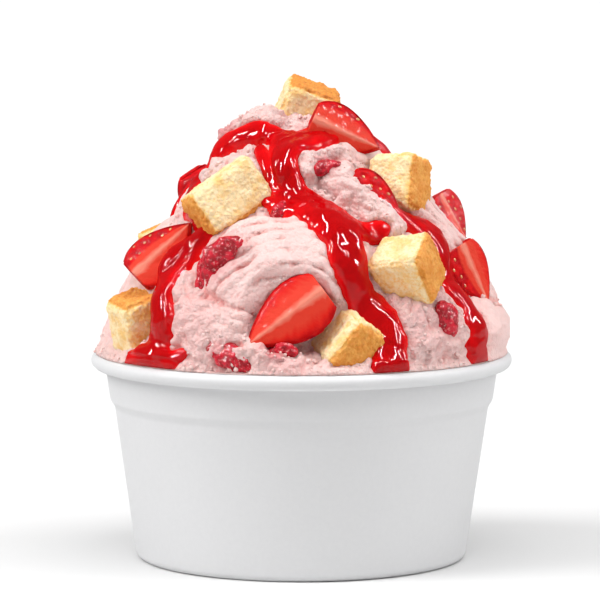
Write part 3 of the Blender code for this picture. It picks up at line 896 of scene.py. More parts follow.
@dataclass(frozen=True)
class Streams:
    """Where the sauce runs: streams of (azimuth, height, width in mm)."""

    step: float = 0.6
    waver: float = 0.16
    waver_size: float = 4.6
    ripple: float = 0.08
    ripple_size: float = 1.7
    margin: float = 12.0
    thinnest: float = 1.1
    thickest: float = 2.1
    merge: float = 0.22
    routes: tuple = (
        ((-46, 48, 3.6), (-30, 49, 4.4), (-14, 47.6, 8), (6, 47.8, 9.5), (24, 49, 7)),
        ((-40, 49, 4), (-66, 45.5, 5), (-80, 42, 6.5), (-84, 37.5, 7), (-68, 34.5, 7.5),
         (-52, 31.5, 5.5)),
        ((-39, 31.5, 4.2), (-46, 27, 6), (-51, 21.5, 7.4), (-49, 16, 7), (-45.5, 10, 7.2),
         (-46, 5, 8.6), (-47, 1.6, 9.5)),
        ((-55, 1.4, 4.6), (-47, 2.2, 8), (-40, 1.4, 6), (-35.5, 3.4, 2.8)),
        ((-14, 47, 7), (-11, 42, 6.4), (-4, 37.5, 6.8), (5, 34, 8.4), (13, 29.5, 10.5),
         (16, 24, 8.6), (18, 18, 7.6), (23, 12.5, 8.8), (26, 7, 7), (25, 0.5, 9)),
        ((12, 30, 6), (22, 29, 5.5), (32, 28.5, 4.5)),
        ((-26, 37, 2.4), (-12, 35, 3.4), (0, 33, 4.4)),
        ((-32, 45, 3), (-20, 41, 3), (-11, 36, 3.2)),
        ((43, 34.5, 5), (51, 30, 6.4), (59, 25, 8.4), (59.5, 20, 8.4), (56, 15.5, 6.4),
         (60, 10, 9), (58, 3.5, 8.4), (58, 0.5, 8)),
        ((60, 53, 4), (84, 48, 4), (88, 43, 3.6), (78, 38, 3)),
        ((110, 50, 6), (125, 42, 5), (118, 33, 4.6), (124, 24, 4.6), (118, 14, 5), (120, 8, 6)),
        ((165, 50, 7), (172, 40, 6.5), (160, 30, 6), (168, 20, 5.6), (176, 12, 5.6), (174, 5, 6.5)),
        ((215, 50, 6), (208, 42, 5), (214, 32, 4.8), (206, 22, 4.6), (210, 15, 5.4)),
        ((250, 48, 5), (240, 38, 4.6), (247, 28, 4.6), (243, 18, 5), (250, 10, 6)),
    )

    def line(self, mound: Mound, route: tuple) -> tuple[np.ndarray, np.ndarray]:
        """Places and half widths along a smooth curve through a route's knots."""
        knots = [(*mound.spot(azimuth, height), width / 2) for azimuth, height, width in route]
        knots = np.array([knots[0], *knots, knots[-1]])
        placed = []
        for spot in range(1, len(knots) - 2):
            before, start, end, after = knots[spot - 1 : spot + 3]
            count = max(2, int(np.linalg.norm((end - start)[:3]) / self.step))
            t = np.linspace(0.0, 1.0, count, endpoint=False)[:, None]
            curve = 0.5 * (
                2 * start + (end - before) * t + (2 * before - 5 * start + 4 * end - after) * t**2
                + (3 * start - before - 3 * end + after) * t**3
            )
            placed.append(curve)
        placed.append(knots[-2:-1])
        joined = np.concatenate(placed)
        return joined[:, :3], joined[:, 3]

    def cover(self, grid: MoundGrid) -> tuple[np.ndarray, np.ndarray]:
        """How far inside the sauce each place on a grid is.

        Args:
            grid: The mound's grid.

        Returns:
            A field that is 1 in the middle of a stream, 0 at its edge and less beyond, and the
            thickness in mm of the sauce in the middle of the stream that is nearest.
        """
        waves = Noise(11)
        base = grid.base.reshape(-1, 3)
        wave = 1.0 + self.waver * waves.layered(base / self.waver_size, 2)
        wave = wave + self.ripple * waves.smooth(base / self.ripple_size)
        inside = np.full(len(base), -4.0)
        deep = np.full(len(base), 1.0)
        for route in self.routes:
            places, halves = self.line(grid.mound, route)
            low = places.min(axis=0) - self.margin
            high = places.max(axis=0) + self.margin
            near = np.flatnonzero(np.all((base > low) & (base < high), axis=1))
            best = np.full(len(near), 1e9)
            width = np.full(len(near), 1.0)
            for place, half in zip(places, halves):
                gap = np.linalg.norm(base[near] - place, axis=1) / half
                closer = gap < best
                best[closer] = gap[closer]
                width[closer] = half
            new = 1.0 - (best * wave[near]) ** 2
            old = inside[near]
            share = smoothstep(-self.merge, self.merge, new - old)
            blend = old + (new - old) * share
            blend += self.merge * 0.6 * share * (1.0 - share) * (np.minimum(old, new) > -0.9)
            inside[near] = blend
            thick = np.clip(0.6 * width, self.thinnest, self.thickest)
            deep[near] = deep[near] * (1.0 - share) + thick * share
        return inside.reshape(grid.azimuth.shape), deep.reshape(grid.azimuth.shape)


@dataclass
class PaperCup:
    """The squat paper cup: tapered wall, lid band, rolled rim and raised floor."""

    height: float = 47.2
    rim_radius: float = 48.0
    roll_radius: float = 1.77
    band_top_radius: float = 44.6
    band_foot: tuple = (43.7, 36.5)
    crease: tuple = (42.66, 34.8)
    base_radius: float = 37.9
    heel_radius: float = 1.8
    ring_width: float = 1.6
    wall: float = 0.6
    floor_height: float = 5.0
    bevel: float = 0.3
    sides: int = 288
    fold_rounding: float = 0.45
    fold_slack: float = 0.3
    lap: float = 0.28
    lap_azimuth: float = 168.0
    lap_run: float = 9.0
    waves: tuple = ((0.07, 3.0, 0.11), (0.04, 7.0, -0.2))

    @property
    def band_top(self) -> tuple[float, float]:
        """Radius and height at which the lid band meets the rolled rim."""
        return self.band_top_radius, self.height - 2 * self.roll_radius - 1.0

    def profile(self) -> list[tuple[float, float]]:
        """Radius and height along the section, from under the floor's middle to above it."""
        roll = (self.rim_radius - self.roll_radius, self.height - self.roll_radius)
        heel = (self.base_radius - self.heel_radius, self.heel_radius)
        ring = self.base_radius - self.heel_radius - self.ring_width
        under = self.floor_height - self.wall
        outer = [self.crease, self.band_foot, self.band_top]
        return [
            (0.0, under), (ring, under), (ring, self.bevel), (ring + self.bevel, 0.0),
            *self.arc(heel, self.heel_radius, -90, 0, 8),
            *outer,
            *self.arc(roll, self.roll_radius, -155, 135, 30),
            *((radius - self.wall, height) for radius, height in reversed(outer)),
            (self.base_radius - self.wall + 0.2, self.floor_height),
            (0.0, self.floor_height),
        ]

    @staticmethod
    def arc(centre: tuple, radius: float, start: float, end: float, steps: int) -> list:
        """Points along an arc of the section, angles in degrees."""
        points = []
        for step in range(steps + 1):
            turn = math.radians(start + (end - start) * step / steps)
            across, up = radius * math.cos(turn), radius * math.sin(turn)
            points.append((centre[0] + across, centre[1] + up))
        return points

    def build(self, finish: PaperFinish) -> None:
        """Turns the section, softens its creases and laps the side seam.

        Args:
            finish: The board's finish.
        """
        shape = bmesh.new()
        section = self.profile()
        points = [shape.verts.new((radius * MM, 0.0, height * MM)) for radius, height in section]
        edges = [shape.edges.new(pair) for pair in zip(points, points[1:])]
        bmesh.ops.spin(
            shape, geom=points + edges, cent=(0, 0, 0), axis=(0, 0, 1), angle=math.tau,
            steps=self.sides, use_merge=True,
        )
        bmesh.ops.remove_doubles(shape, verts=shape.verts, dist=WELD)
        folds = [edge for edge in shape.edges if self.is_fold(*(end.co for end in edge.verts))]
        bmesh.ops.bevel(
            shape, geom=folds, offset=self.fold_rounding * MM, segments=3, profile=0.5,
            affect="EDGES", material=-1,
        )
        bmesh.ops.recalc_face_normals(shape, faces=shape.faces)
        mesh = meshed(shape)
        set_points(mesh, self.lapped(get_points(mesh)))
        add_piece("paper_cup", mesh, finish.material(), ("cup",))

    def is_fold(self, first: Vector, second: Vector) -> bool:
        """Whether an edge is level and lies on one of the outer creases, which are softened."""
        if abs(first.z - second.z) >= WELD:
            return False
        least = min(first.xy.length, second.xy.length)
        return any(
            abs(first.z - height * MM) < WELD and least > (radius - self.fold_slack) * MM
            for radius, height in (self.crease, self.band_foot, self.band_top)
        )

    def lapped(self, points: np.ndarray) -> np.ndarray:
        """Lifts the outer ply beside the side seam, and waves the wall very slightly."""
        azimuth = np.degrees(np.arctan2(points[:, 0], -points[:, 1]))
        height = points[:, 2]
        past = (azimuth - self.lap_azimuth) % 360.0
        lift = self.lap * np.exp(-past / self.lap_run) * smoothstep(0.0, 1.3, past) * (past < 60.0)
        for depth, turns, slant in self.waves:
            lift = lift + depth * np.sin(np.radians(azimuth) * turns + height * slant)
        radius = np.linalg.norm(points[:, :2], axis=1)
        wall = np.interp(height, (0.0, self.crease[1], self.height), (37.5, 42.0, 43.9))
        outside = smoothstep(-0.6, 0.0, radius - wall)
        outside = outside * smoothstep(self.height - 2.0, self.height - 5.0, height)
        grow = 1.0 + outside * lift / np.maximum(radius, 1.0)
        moved = points.copy()
        moved[:, :2] *= grow[:, None]
        return moved


@dataclass
class IceCream:
    """The filling of the cup and the heaped folds on it, in one piece.

    section holds radius and height of the rows inside the cup, below the rolled rim. fruit
    holds the place and reach of each lump of fruit. A stain is an azimuth and a height, a
    radius in mm and how red it is.
    """

    mound: Mound
    streams: Streams
    columns: int = 760
    rows: int = 196
    triangles: int = 192000
    section: tuple = (
        (0.0, 5.6), (35.8, 5.6), (36.9, 6.6), (41.4, 34.8), (42.4, 36.5), (43.3, 42.6),
    )
    roll_middle: tuple = (46.23, 45.43)
    roll_radius: float = 1.86
    sink: float = 0.6
    ease: float = 2.2
    dent: float = 0.9
    warp: float = 0.9
    warp_size: float = 4.0
    clump_size: float = 4.4
    patch_size: float = 6.0
    small_crumb: float = 1.35
    large_crumb: float = 3.1
    pit_size: float = 1.6
    pit_depth: float = 1.2
    groove_pitch: float = 2.9
    groove_width: float = 0.30
    fine_pitch: float = 1.15
    fine_width: float = 0.45
    fine_depth: float = 0.34
    fruit: tuple = ()
    stains: tuple = (
        (-31, 22, 9.0, 0.40),
        (46, 9, 5.0, 0.40),
        (-22, 3.4, 5.0, 0.45),
        (16, 42, 3.6, 0.45),
        (-9, 33.6, 4.5, 0.45),
        (-82, 47, 4.0, 0.5),
        (-7, 5.5, 5.0, 0.6),
        (-62, 33, 4.0, 0.5),
        (-80, 18, 2.6, 0.45),
        (-36, 9, 16.0, 0.12),
        (42, 12, 15.0, 0.15),
        (-4, 3, 9.0, 0.15),
        (150, 12, 18.0, 0.12),
        (225, 16, 16.0, 0.12),
    )

    def filling(self) -> tuple[np.ndarray, np.ndarray]:
        """Radius and height of the rows inside the cup, from the floor's middle to the rim."""
        turns = np.radians(np.linspace(165.0, 64.0, 8))
        roll = np.stack([np.cos(turns), np.sin(turns)], axis=1)
        rows = np.concatenate([self.section, self.roll_middle + self.roll_radius * roll])
        return rows[:, 0], rows[:, 1]

    def build(self, finish: IceCreamFinish) -> MoundGrid:
        """Shapes the surface down to its crumbs and adds it to the scene.

        Args:
            finish: The ice cream's finish.

        Returns:
            The grid with the finished places, for what is scattered on it.
        """
        grid = MoundGrid(self.mound, self.columns, self.rows)
        grid.cover, _ = self.streams.cover(grid)
        # height is the colour level that paints shade into pits, grooves, creases and crumb gaps
        detail, height = self.detail(grid)
        under = smoothstep(-0.30, 0.25, grid.cover)
        lip = smoothstep(0.0, 2.5, grid.height)
        shift = detail * (1.0 - under) * (0.45 + 0.55 * lip) - self.sink * under
        shift -= self.dent * self.beside_fruit(grid.points)
        under = under[..., None]
        surface = grid.points * (1.0 - under) + grid.eased(self.ease) * under
        grid.points = grid.kept(surface + grid.normals * shift[..., None])
        stain = self.stained(grid.base.reshape(-1, 3)).reshape(grid.azimuth.shape)
        radius, level = self.filling()
        inside = radius[:, None, None] * way_to(grid.azimuth[0])
        inside[..., 2] = level[:, None]
        plain = np.full(inside.shape[:2], 0.6)
        mesh = Sheet(self.columns, self.rows + len(radius)).bend(
            np.concatenate([inside, grid.points]),
            height=np.concatenate([plain, height]),
            rough=np.concatenate([plain, grid.rough]),
            stain=np.concatenate([plain * 0.0, stain]),
        )
        shape = welded(mesh)
        bmesh.ops.dissolve_degenerate(shape, edges=shape.edges, dist=WELD)
        bmesh.ops.recalc_face_normals(shape, faces=shape.faces)
        mesh = meshed(shape, mesh)
        piece = add_piece("ice_cream_heap", mesh, finish.material(), ("ice_cream",))
        self.thin_out(piece)
        return grid

    def detail(self, grid: MoundGrid) -> tuple[np.ndarray, np.ndarray]:
        """Clumps, grooves, pits and grains over the folds.

        Args:
            grid: The folded surface.

        Returns:
            How far each place is pushed out, in mm, and a colour level from 0 to 1 that is low in
            pits, grooves, creases and gaps between crumbs, where it paints shade.
        """
        size = grid.azimuth.shape
        at = grid.points.reshape(-1, 3)
        clump, crumb, pit, groove, rough = grid.style.reshape(-1, 5).T
        crease = grid.crease.ravel()
        coarse = Noise(21)
        fine = Noise(22)
        warp = [coarse.smooth(at / self.warp_size + shift) for shift in (0.0, 40.0, 80.0)]
        at = at + np.stack(warp, axis=1) * self.warp
        lumps = coarse.clumps(at / self.clump_size, 2) * 1.8 - 0.65
        patchy = smoothstep(-0.5, 0.4, coarse.smooth(at / self.patch_size + 60.0))
        small = fine.knobs(at / self.small_crumb)
        large = fine.knobs(at / self.large_crumb + 11.0)
        crumbs = (small * 0.65 + large * 1.50) - 1.20
        cut = self.cut(grid.across.ravel(), at, coarse, fine)
        pits = smoothstep(0.42, 0.16, fine.cells(at / self.pit_size + 3.0))
        pits = pits * smoothstep(-0.1, 0.5, fine.smooth(at / 3.0))
        pits = pits * (0.5 + cut + crease) * pit * self.pit_depth
        crumb = crumb * (0.45 + 0.55 * patchy)
        cut = groove * cut
        out = clump * (0.85 + 0.6 * crease) * lumps + crumb * crumbs - cut - pits
        out += cut * 0.7 * crumbs - 0.5 * crease
        # Colour level, painted shade: low (darker and pinker) in pits, grooves, creases and gaps
        # between crumbs
        low = 0.5 * clump * np.minimum(lumps, 0.4) + 1.1 * crumb * crumbs + 0.5 * cut * crumbs
        low = low - cut * 0.75 - pits - 0.55 * crease
        height = np.clip(0.70 + 0.55 * low, 0.0, 1.0)
        grid.rough = np.clip(rough + cut + 0.6 * crease, 0.0, 1.1).reshape(size)
        return out.reshape(size), height.reshape(size)

    def cut(self, across: np.ndarray, at: np.ndarray, coarse: Noise, fine: Noise) -> np.ndarray:
        """How deep in the scoop's grooves places are, from 0 to 1.

        Args:
            across: How far across the grooves each place is, in mm.
            at: The places, one per row.
            coarse: The noise that bends and fades the grooves.
            fine: The noise that roughens them.

        Returns:
            One depth per place.
        """
        across = across + 1.7 * coarse.smooth(at / 10.0) + 0.35 * fine.smooth(at / 1.9)
        fade = smoothstep(-0.45, 0.25, coarse.smooth(at / self.patch_size + 5.0))
        wide = self.furrow(across, self.groove_pitch, self.groove_width) * (0.25 + 0.75 * fade)
        narrow = self.fine_depth * self.furrow(across, self.fine_pitch, self.fine_width)
        return np.maximum(wide, narrow * smoothstep(-0.2, 0.5, fine.smooth(at / 5.0)))

    @staticmethod
    def furrow(across: np.ndarray, pitch: float, width: float) -> np.ndarray:
        """How near the middle of a furrow places are, from 0 to 1."""
        phase = np.abs((across / pitch) % 1.0 - 0.5) * 2.0
        return np.exp(-((phase / width) ** 2))

    def beside_fruit(self, points: np.ndarray) -> np.ndarray:
        """How near the lumps of fruit places are, from 0 to 1."""
        near = np.zeros(points.shape[:-1])
        for place, reach in self.fruit:
            gap = np.linalg.norm(points - place, axis=-1) / reach
            near = np.maximum(near, smoothstep(1.25, 0.8, gap))
        return near

    def stained(self, base: np.ndarray) -> np.ndarray:
        """How red the ice cream is beside its fruit, from 0 to 1."""
        streak = Noise(31).clumps(base / 2.2, 3)
        total = np.zeros(len(base))
        for azimuth, height, radius, amount in self.stains:
            gap = np.linalg.norm(base - self.mound.spot(azimuth, height), axis=1) / radius
            total = np.maximum(total, amount * smoothstep(1.0, 0.35, gap + 0.45 * (streak - 0.35)))
        return total

    def thin_out(self, piece: bpy.types.Object) -> None:
        """Thins the mesh where it is plain, to keep the piece within its share of faces."""
        thinning = piece.modifiers.new("thinning", "DECIMATE")
        thinning.ratio = min(1.0, self.triangles / (2.0 * len(piece.data.polygons)))
        evaluated = piece.evaluated_get(bpy.context.evaluated_depsgraph_get())
        mesh = bpy.data.meshes.new_from_object(evaluated)
        piece.modifiers.clear()
        piece.data = mesh
        mesh.shade_smooth()
        LOG.info("%s thinned to %d faces", piece.name, len(mesh.polygons))


@dataclass
class Sauce:
    """The strawberry sauce that runs down over the folds."""

    mound: Mound
    streams: Streams
    columns: int = 660
    rows: int = 172
    edge: float = -0.45
    dive: float = 1.7
    ease: float = 2.2
    swell: float = 0.30
    swell_size: float = 6.0
    ripple: float = 0.12
    ripple_size: float = 2.4
    shell: float = 0.5
    foot_rows: int = 4
    foot_radius: float = 46.8

    def build(self, finish: SauceFinish) -> None:
        """Shapes the streams as one closed skin and adds it to the scene.

        Args:
            finish: The sauce's finish.
        """
        grid = MoundGrid(self.mound, self.columns, self.rows)
        cover, deep = self.streams.cover(grid)
        cover = blur(cover, 1)
        noise = Noise(41)
        base = grid.base.reshape(-1, 3)
        flow = self.swell * noise.smooth(base / self.swell_size)
        flow = flow + self.ripple * noise.smooth(base / self.ripple_size)
        body = np.clip(cover, 0.0, 1.0)
        thick = blur(deep, 8) * (1.0 + flow.reshape(cover.shape)) * body**0.48
        out = np.where(cover > 0.0, thick, -self.dive * smoothstep(0.0, self.edge * 0.8, cover))
        normals = grid_normals(grid.eased(self.ease * 0.6))
        points = grid.kept(grid.eased(self.ease) + normals * (out - 0.1)[..., None])
        points = np.concatenate([self.foot(way_to(grid.azimuth[0]), points[0], cover[0]), points])
        cover, thick = (
            np.concatenate([values[:1]] * self.foot_rows + [values]) for values in (cover, thick)
        )
        sheet = Sheet(self.columns, self.rows + self.foot_rows)
        mesh = sheet.bend(points, depth=np.clip(thick / 2.2, 0.0, 1.0), inside=cover)
        mesh = self.trimmed(mesh)
        add_piece("strawberry_sauce", mesh, finish.material(), ("ice_cream",))

    def foot(self, flat: np.ndarray, lowest: np.ndarray, cover: np.ndarray) -> np.ndarray:
        """The rows with which the sauce comes down onto the rim.

        Args:
            flat: The level ways out, one per column.
            lowest: The lowest row of the sauce, in mm.
            cover: How far inside the sauce each place of that row is.

        Returns:
            The rows below it, lowest first.
        """
        back = self.dive * smoothstep(0.1, self.edge * 0.6, cover)
        lip = flat * (self.foot_radius - back)[:, None]
        lip[:, 2] = self.mound.lowest
        share = np.linspace(0.0, 1.0, self.foot_rows, endpoint=False)[:, None, None]
        swell = 0.6 * np.sin(math.pi * share) * np.clip(cover, 0.0, 1.0)[:, None] * flat
        return self.mound.keep_in(lip * (1.0 - share) + lowest * share + swell)

    def trimmed(self, mesh: bpy.types.Mesh) -> bpy.types.Mesh:
        """Keeps the skin where there is sauce, and gives it a thickness."""
        shape = welded(mesh)
        inside = shape.verts.layers.float["inside"]
        bare = [
            face for face in shape.faces
            if all(corner[inside] < self.edge for corner in face.verts)
        ]
        bmesh.ops.delete(shape, geom=bare, context="FACES")
        bmesh.ops.recalc_face_normals(shape, faces=shape.faces)
        shape.normal_update()
        copied = bmesh.ops.extrude_face_region(shape, geom=shape.faces[:], use_keep_orig=True)
        for corner in (item for item in copied["geom"] if isinstance(item, bmesh.types.BMVert)):
            corner.co -= corner.normal * self.shell * MM
        bmesh.ops.recalc_face_normals(shape, faces=shape.faces)
        return meshed(shape, mesh)


@dataclass(frozen=True)
class Cube:
    """One cube of cake: where it lies, its sides, its turn and how browned each face is."""

    name: str
    middle: tuple
    sides: tuple
    turn: tuple
    browned: tuple


@dataclass
class CakeCubes:
    """The cubes of sponge, crumbly where they were cut and browned where they were baked."""

    cuts: int = 40
    rounding: float = 2.0
    jitter: float = 0.45
    browning: float = 0.18
    browning_size: float = 3.0
    crust_reach: float = 2.2
    rim_toast: float = 0.30
    rim_reach: float = 1.5
    small_pore: float = 1.2
    large_pore: float = 3.1
    pore_depth: float = 0.30
    crumb_size: float = 0.95
    grain: float = 0.15
    swell: float = 0.38
    swell_size: float = 4.2
    lost_size: float = 2.3
    lost_depth: float = 0.6
    cubes: tuple = (
        Cube("top", (1.2, 2.6, 102.2), (13.2, 12.4, 12.0), (9, 23, 3),
             ((Face.TOP, 1.0), (Face.BACK, 0.6))),
        Cube("upper_left", (-16.6, -19.6, 83.6), (16.6, 12.8, 12.0), (-12, -32, 19),
             ((Face.LEFT, 0.85), (Face.UNDER, 0.8))),
        Cube("upper_right", (22.0, -10.6, 86.0), (12.0, 12.2, 12.6), (-17, -2, -28),
             ((Face.RIGHT, 0.8),)),
        Cube("right", (23.4, -31.0, 68.8), (12.8, 11.4, 12.8), (35, -8, -29),
             ((Face.RIGHT, 0.85), (Face.FRONT, 0.22))),
        Cube("lower_left", (-35.8, -17.8, 55.9), (12.4, 11.2, 13.0), (8, -17, 30),
             ((Face.TOP, 0.8), (Face.FRONT, 0.3))),
        Cube("lower_centre", (10.6, -37.2, 52.9), (11.2, 13.0, 12.8), (17, 32, 33),
             ((Face.FRONT, 0.75),)),
        Cube("back_upper", (-6.0, 21.5, 86.0), (12.4, 11.4, 11.0), (24, -14, 40),
             ((Face.BACK, 0.8),)),
        Cube("back_left", (-30.5, 23.0, 68.5), (11.8, 11.2, 10.8), (-20, 12, 62),
             ((Face.TOP, 0.85),)),
        Cube("back_right", (28.8, 25.6, 64.5), (12.2, 10.8, 11.4), (14, 28, 15),
             ((Face.RIGHT, 0.85),)),
        Cube("back_low", (-8.0, 38.5, 57.5), (11.4, 11.6, 12.0), (-30, 10, 24), ((Face.TOP, 0.5),)),
    )

    def build(self, finish: CakeFinish) -> None:
        """Adds every cube to the scene.

        Args:
            finish: The sponge's finish.
        """
        material = finish.material()
        for spot, cube in enumerate(self.cubes):
            mesh = self.shaped(cube, Noise(100 + spot))
            add_piece("sponge_" + cube.name, mesh, material, ("cake_cube_" + cube.name,))

    def corners(self, cube: Cube) -> dict[tuple, np.ndarray]:
        """How far each corner is off square, in mm."""
        spread = random.Random(cube.name)
        shape = bmesh.new()
        bmesh.ops.create_cube(shape, size=2.0)
        off = {}
        for corner in shape.verts:
            shift = [spread.uniform(-self.jitter, self.jitter) for _ in range(3)]
            off[tuple(round(value) for value in corner.co)] = np.array(shift)
        shape.free()
        return off

    def shaped(self, cube: Cube, grain: Noise) -> bpy.types.Mesh:
        """Makes one cube with rounded edges, crumbs, pores and browning.

        Args:
            cube: The cube.
            grain: Its own noise.

        Returns:
            The mesh, in place.
        """
        shape = bmesh.new()
        bmesh.ops.create_cube(shape, size=2.0)
        bmesh.ops.subdivide_edges(shape, edges=shape.edges, cuts=self.cuts, use_grid_fill=True)
        bmesh.ops.recalc_face_normals(shape, faces=shape.faces)
        mesh = meshed(shape)
        half = np.array(cube.sides) / 2.0
        flat = get_points(mesh) * MM * half
        inner = np.clip(flat, -(half - self.rounding), half - self.rounding)
        way = flat - inner
        way /= np.linalg.norm(way, axis=1, keepdims=True)
        points = inner + way * self.rounding
        share = points / half
        for corner, shift in self.corners(cube).items():
            weight = np.prod((1.0 + share * np.array(corner)) / 2.0, axis=1)
            points = points + weight[:, None] * shift
        edge = 1.0 - np.max(np.abs(way), axis=1)
        toast = self.toasted(cube, flat, way, half, grain)
        pushed, pore = self.crumbled(points, edge, toast, grain)
        points = points + way * pushed[:, None]
        turn = np.array(Euler([math.radians(value) for value in cube.turn]).to_matrix())
        set_points(mesh, points @ turn.T + np.array(cube.middle))
        add_numbers(mesh, toast=toast, pore=pore)
        return mesh

    def toasted(
        self, cube: Cube, flat: np.ndarray, way: np.ndarray, half: np.ndarray, grain: Noise
    ) -> np.ndarray:
        """How browned each place is, from 0 to 1."""
        uneven = self.browning * grain.layered(flat / self.browning_size, 3)
        toast = np.full(len(flat), 0.02)
        for face, amount in cube.browned:
            axis, sign = face.value
            facing = smoothstep(0.35, 0.8, way[:, axis] * sign)
            below = half[axis] - flat[:, axis] * sign
            beside = smoothstep(self.crust_reach, 0.0, below) * 0.55
            toast = np.maximum(toast, amount * np.maximum(facing, beside))
        nearest = np.sort(half - np.abs(flat), axis=1)[:, 1]
        rim = self.rim_toast * smoothstep(self.rim_reach, 0.2, nearest)
        rim = rim * (0.5 + grain.smooth(flat / 4.0 + 9.0))
        return np.clip(np.maximum(toast + uneven * (toast > 0.1), rim), 0.0, 1.0)

    def crumbled(
        self, points: np.ndarray, edge: np.ndarray, toast: np.ndarray, grain: Noise
    ) -> tuple[np.ndarray, np.ndarray]:
        """How far each place of a cube is pushed out in mm, and how deep in a pore it is, which
        also paints shade into the pores.
        """
        edge = np.clip(edge * 3.0, 0.0, 1.0)
        small = smoothstep(0.44, 0.14, grain.cells(points / self.small_pore))
        large = smoothstep(0.30, 0.10, grain.cells(points / self.large_pore + 7.0))
        pore = np.clip(small * 0.45 + large * 0.6, 0.0, 1.0) * (1.0 - 0.8 * toast)
        crumbs = 0.5 - np.minimum(grain.cells(points / self.crumb_size + 3.0), 1.0)
        rough = self.grain * grain.layered(points / 1.2, 3, 0.6)
        rough = rough + self.swell * grain.smooth(points / self.swell_size)
        rough += crumbs * (0.22 + 0.38 * toast + 0.25 * edge)
        lost = edge * grain.clumps(points / self.lost_size, 2)
        return rough - self.pore_depth * pore - self.lost_depth * lost, pore


@dataclass(frozen=True)
class Berry:
    """A wedge of strawberry: middle, length, radius, wedge angle, its tip's way and its cut's.

    skin_from is the share of the radius at which skin begins on its first and second cut.
    """

    name: str
    middle: tuple
    length: float
    radius: float
    wedge: float
    along: tuple
    facing: tuple
    skin_from: tuple = (0.94, 0.94)

    def turn(self) -> np.ndarray:
        """The turn whose columns are the skin's way, the side and the tip's way."""
        return np.array(turn_to(Vector(self.along).normalized(), Vector(self.facing)))

    def span(self, share: np.ndarray) -> np.ndarray:
        """Radius at shares of the length, from the calyx end to the tip."""
        run = 0.12 + 0.88 * share
        return self.radius * np.sin(math.pi * run**0.72) ** 0.8


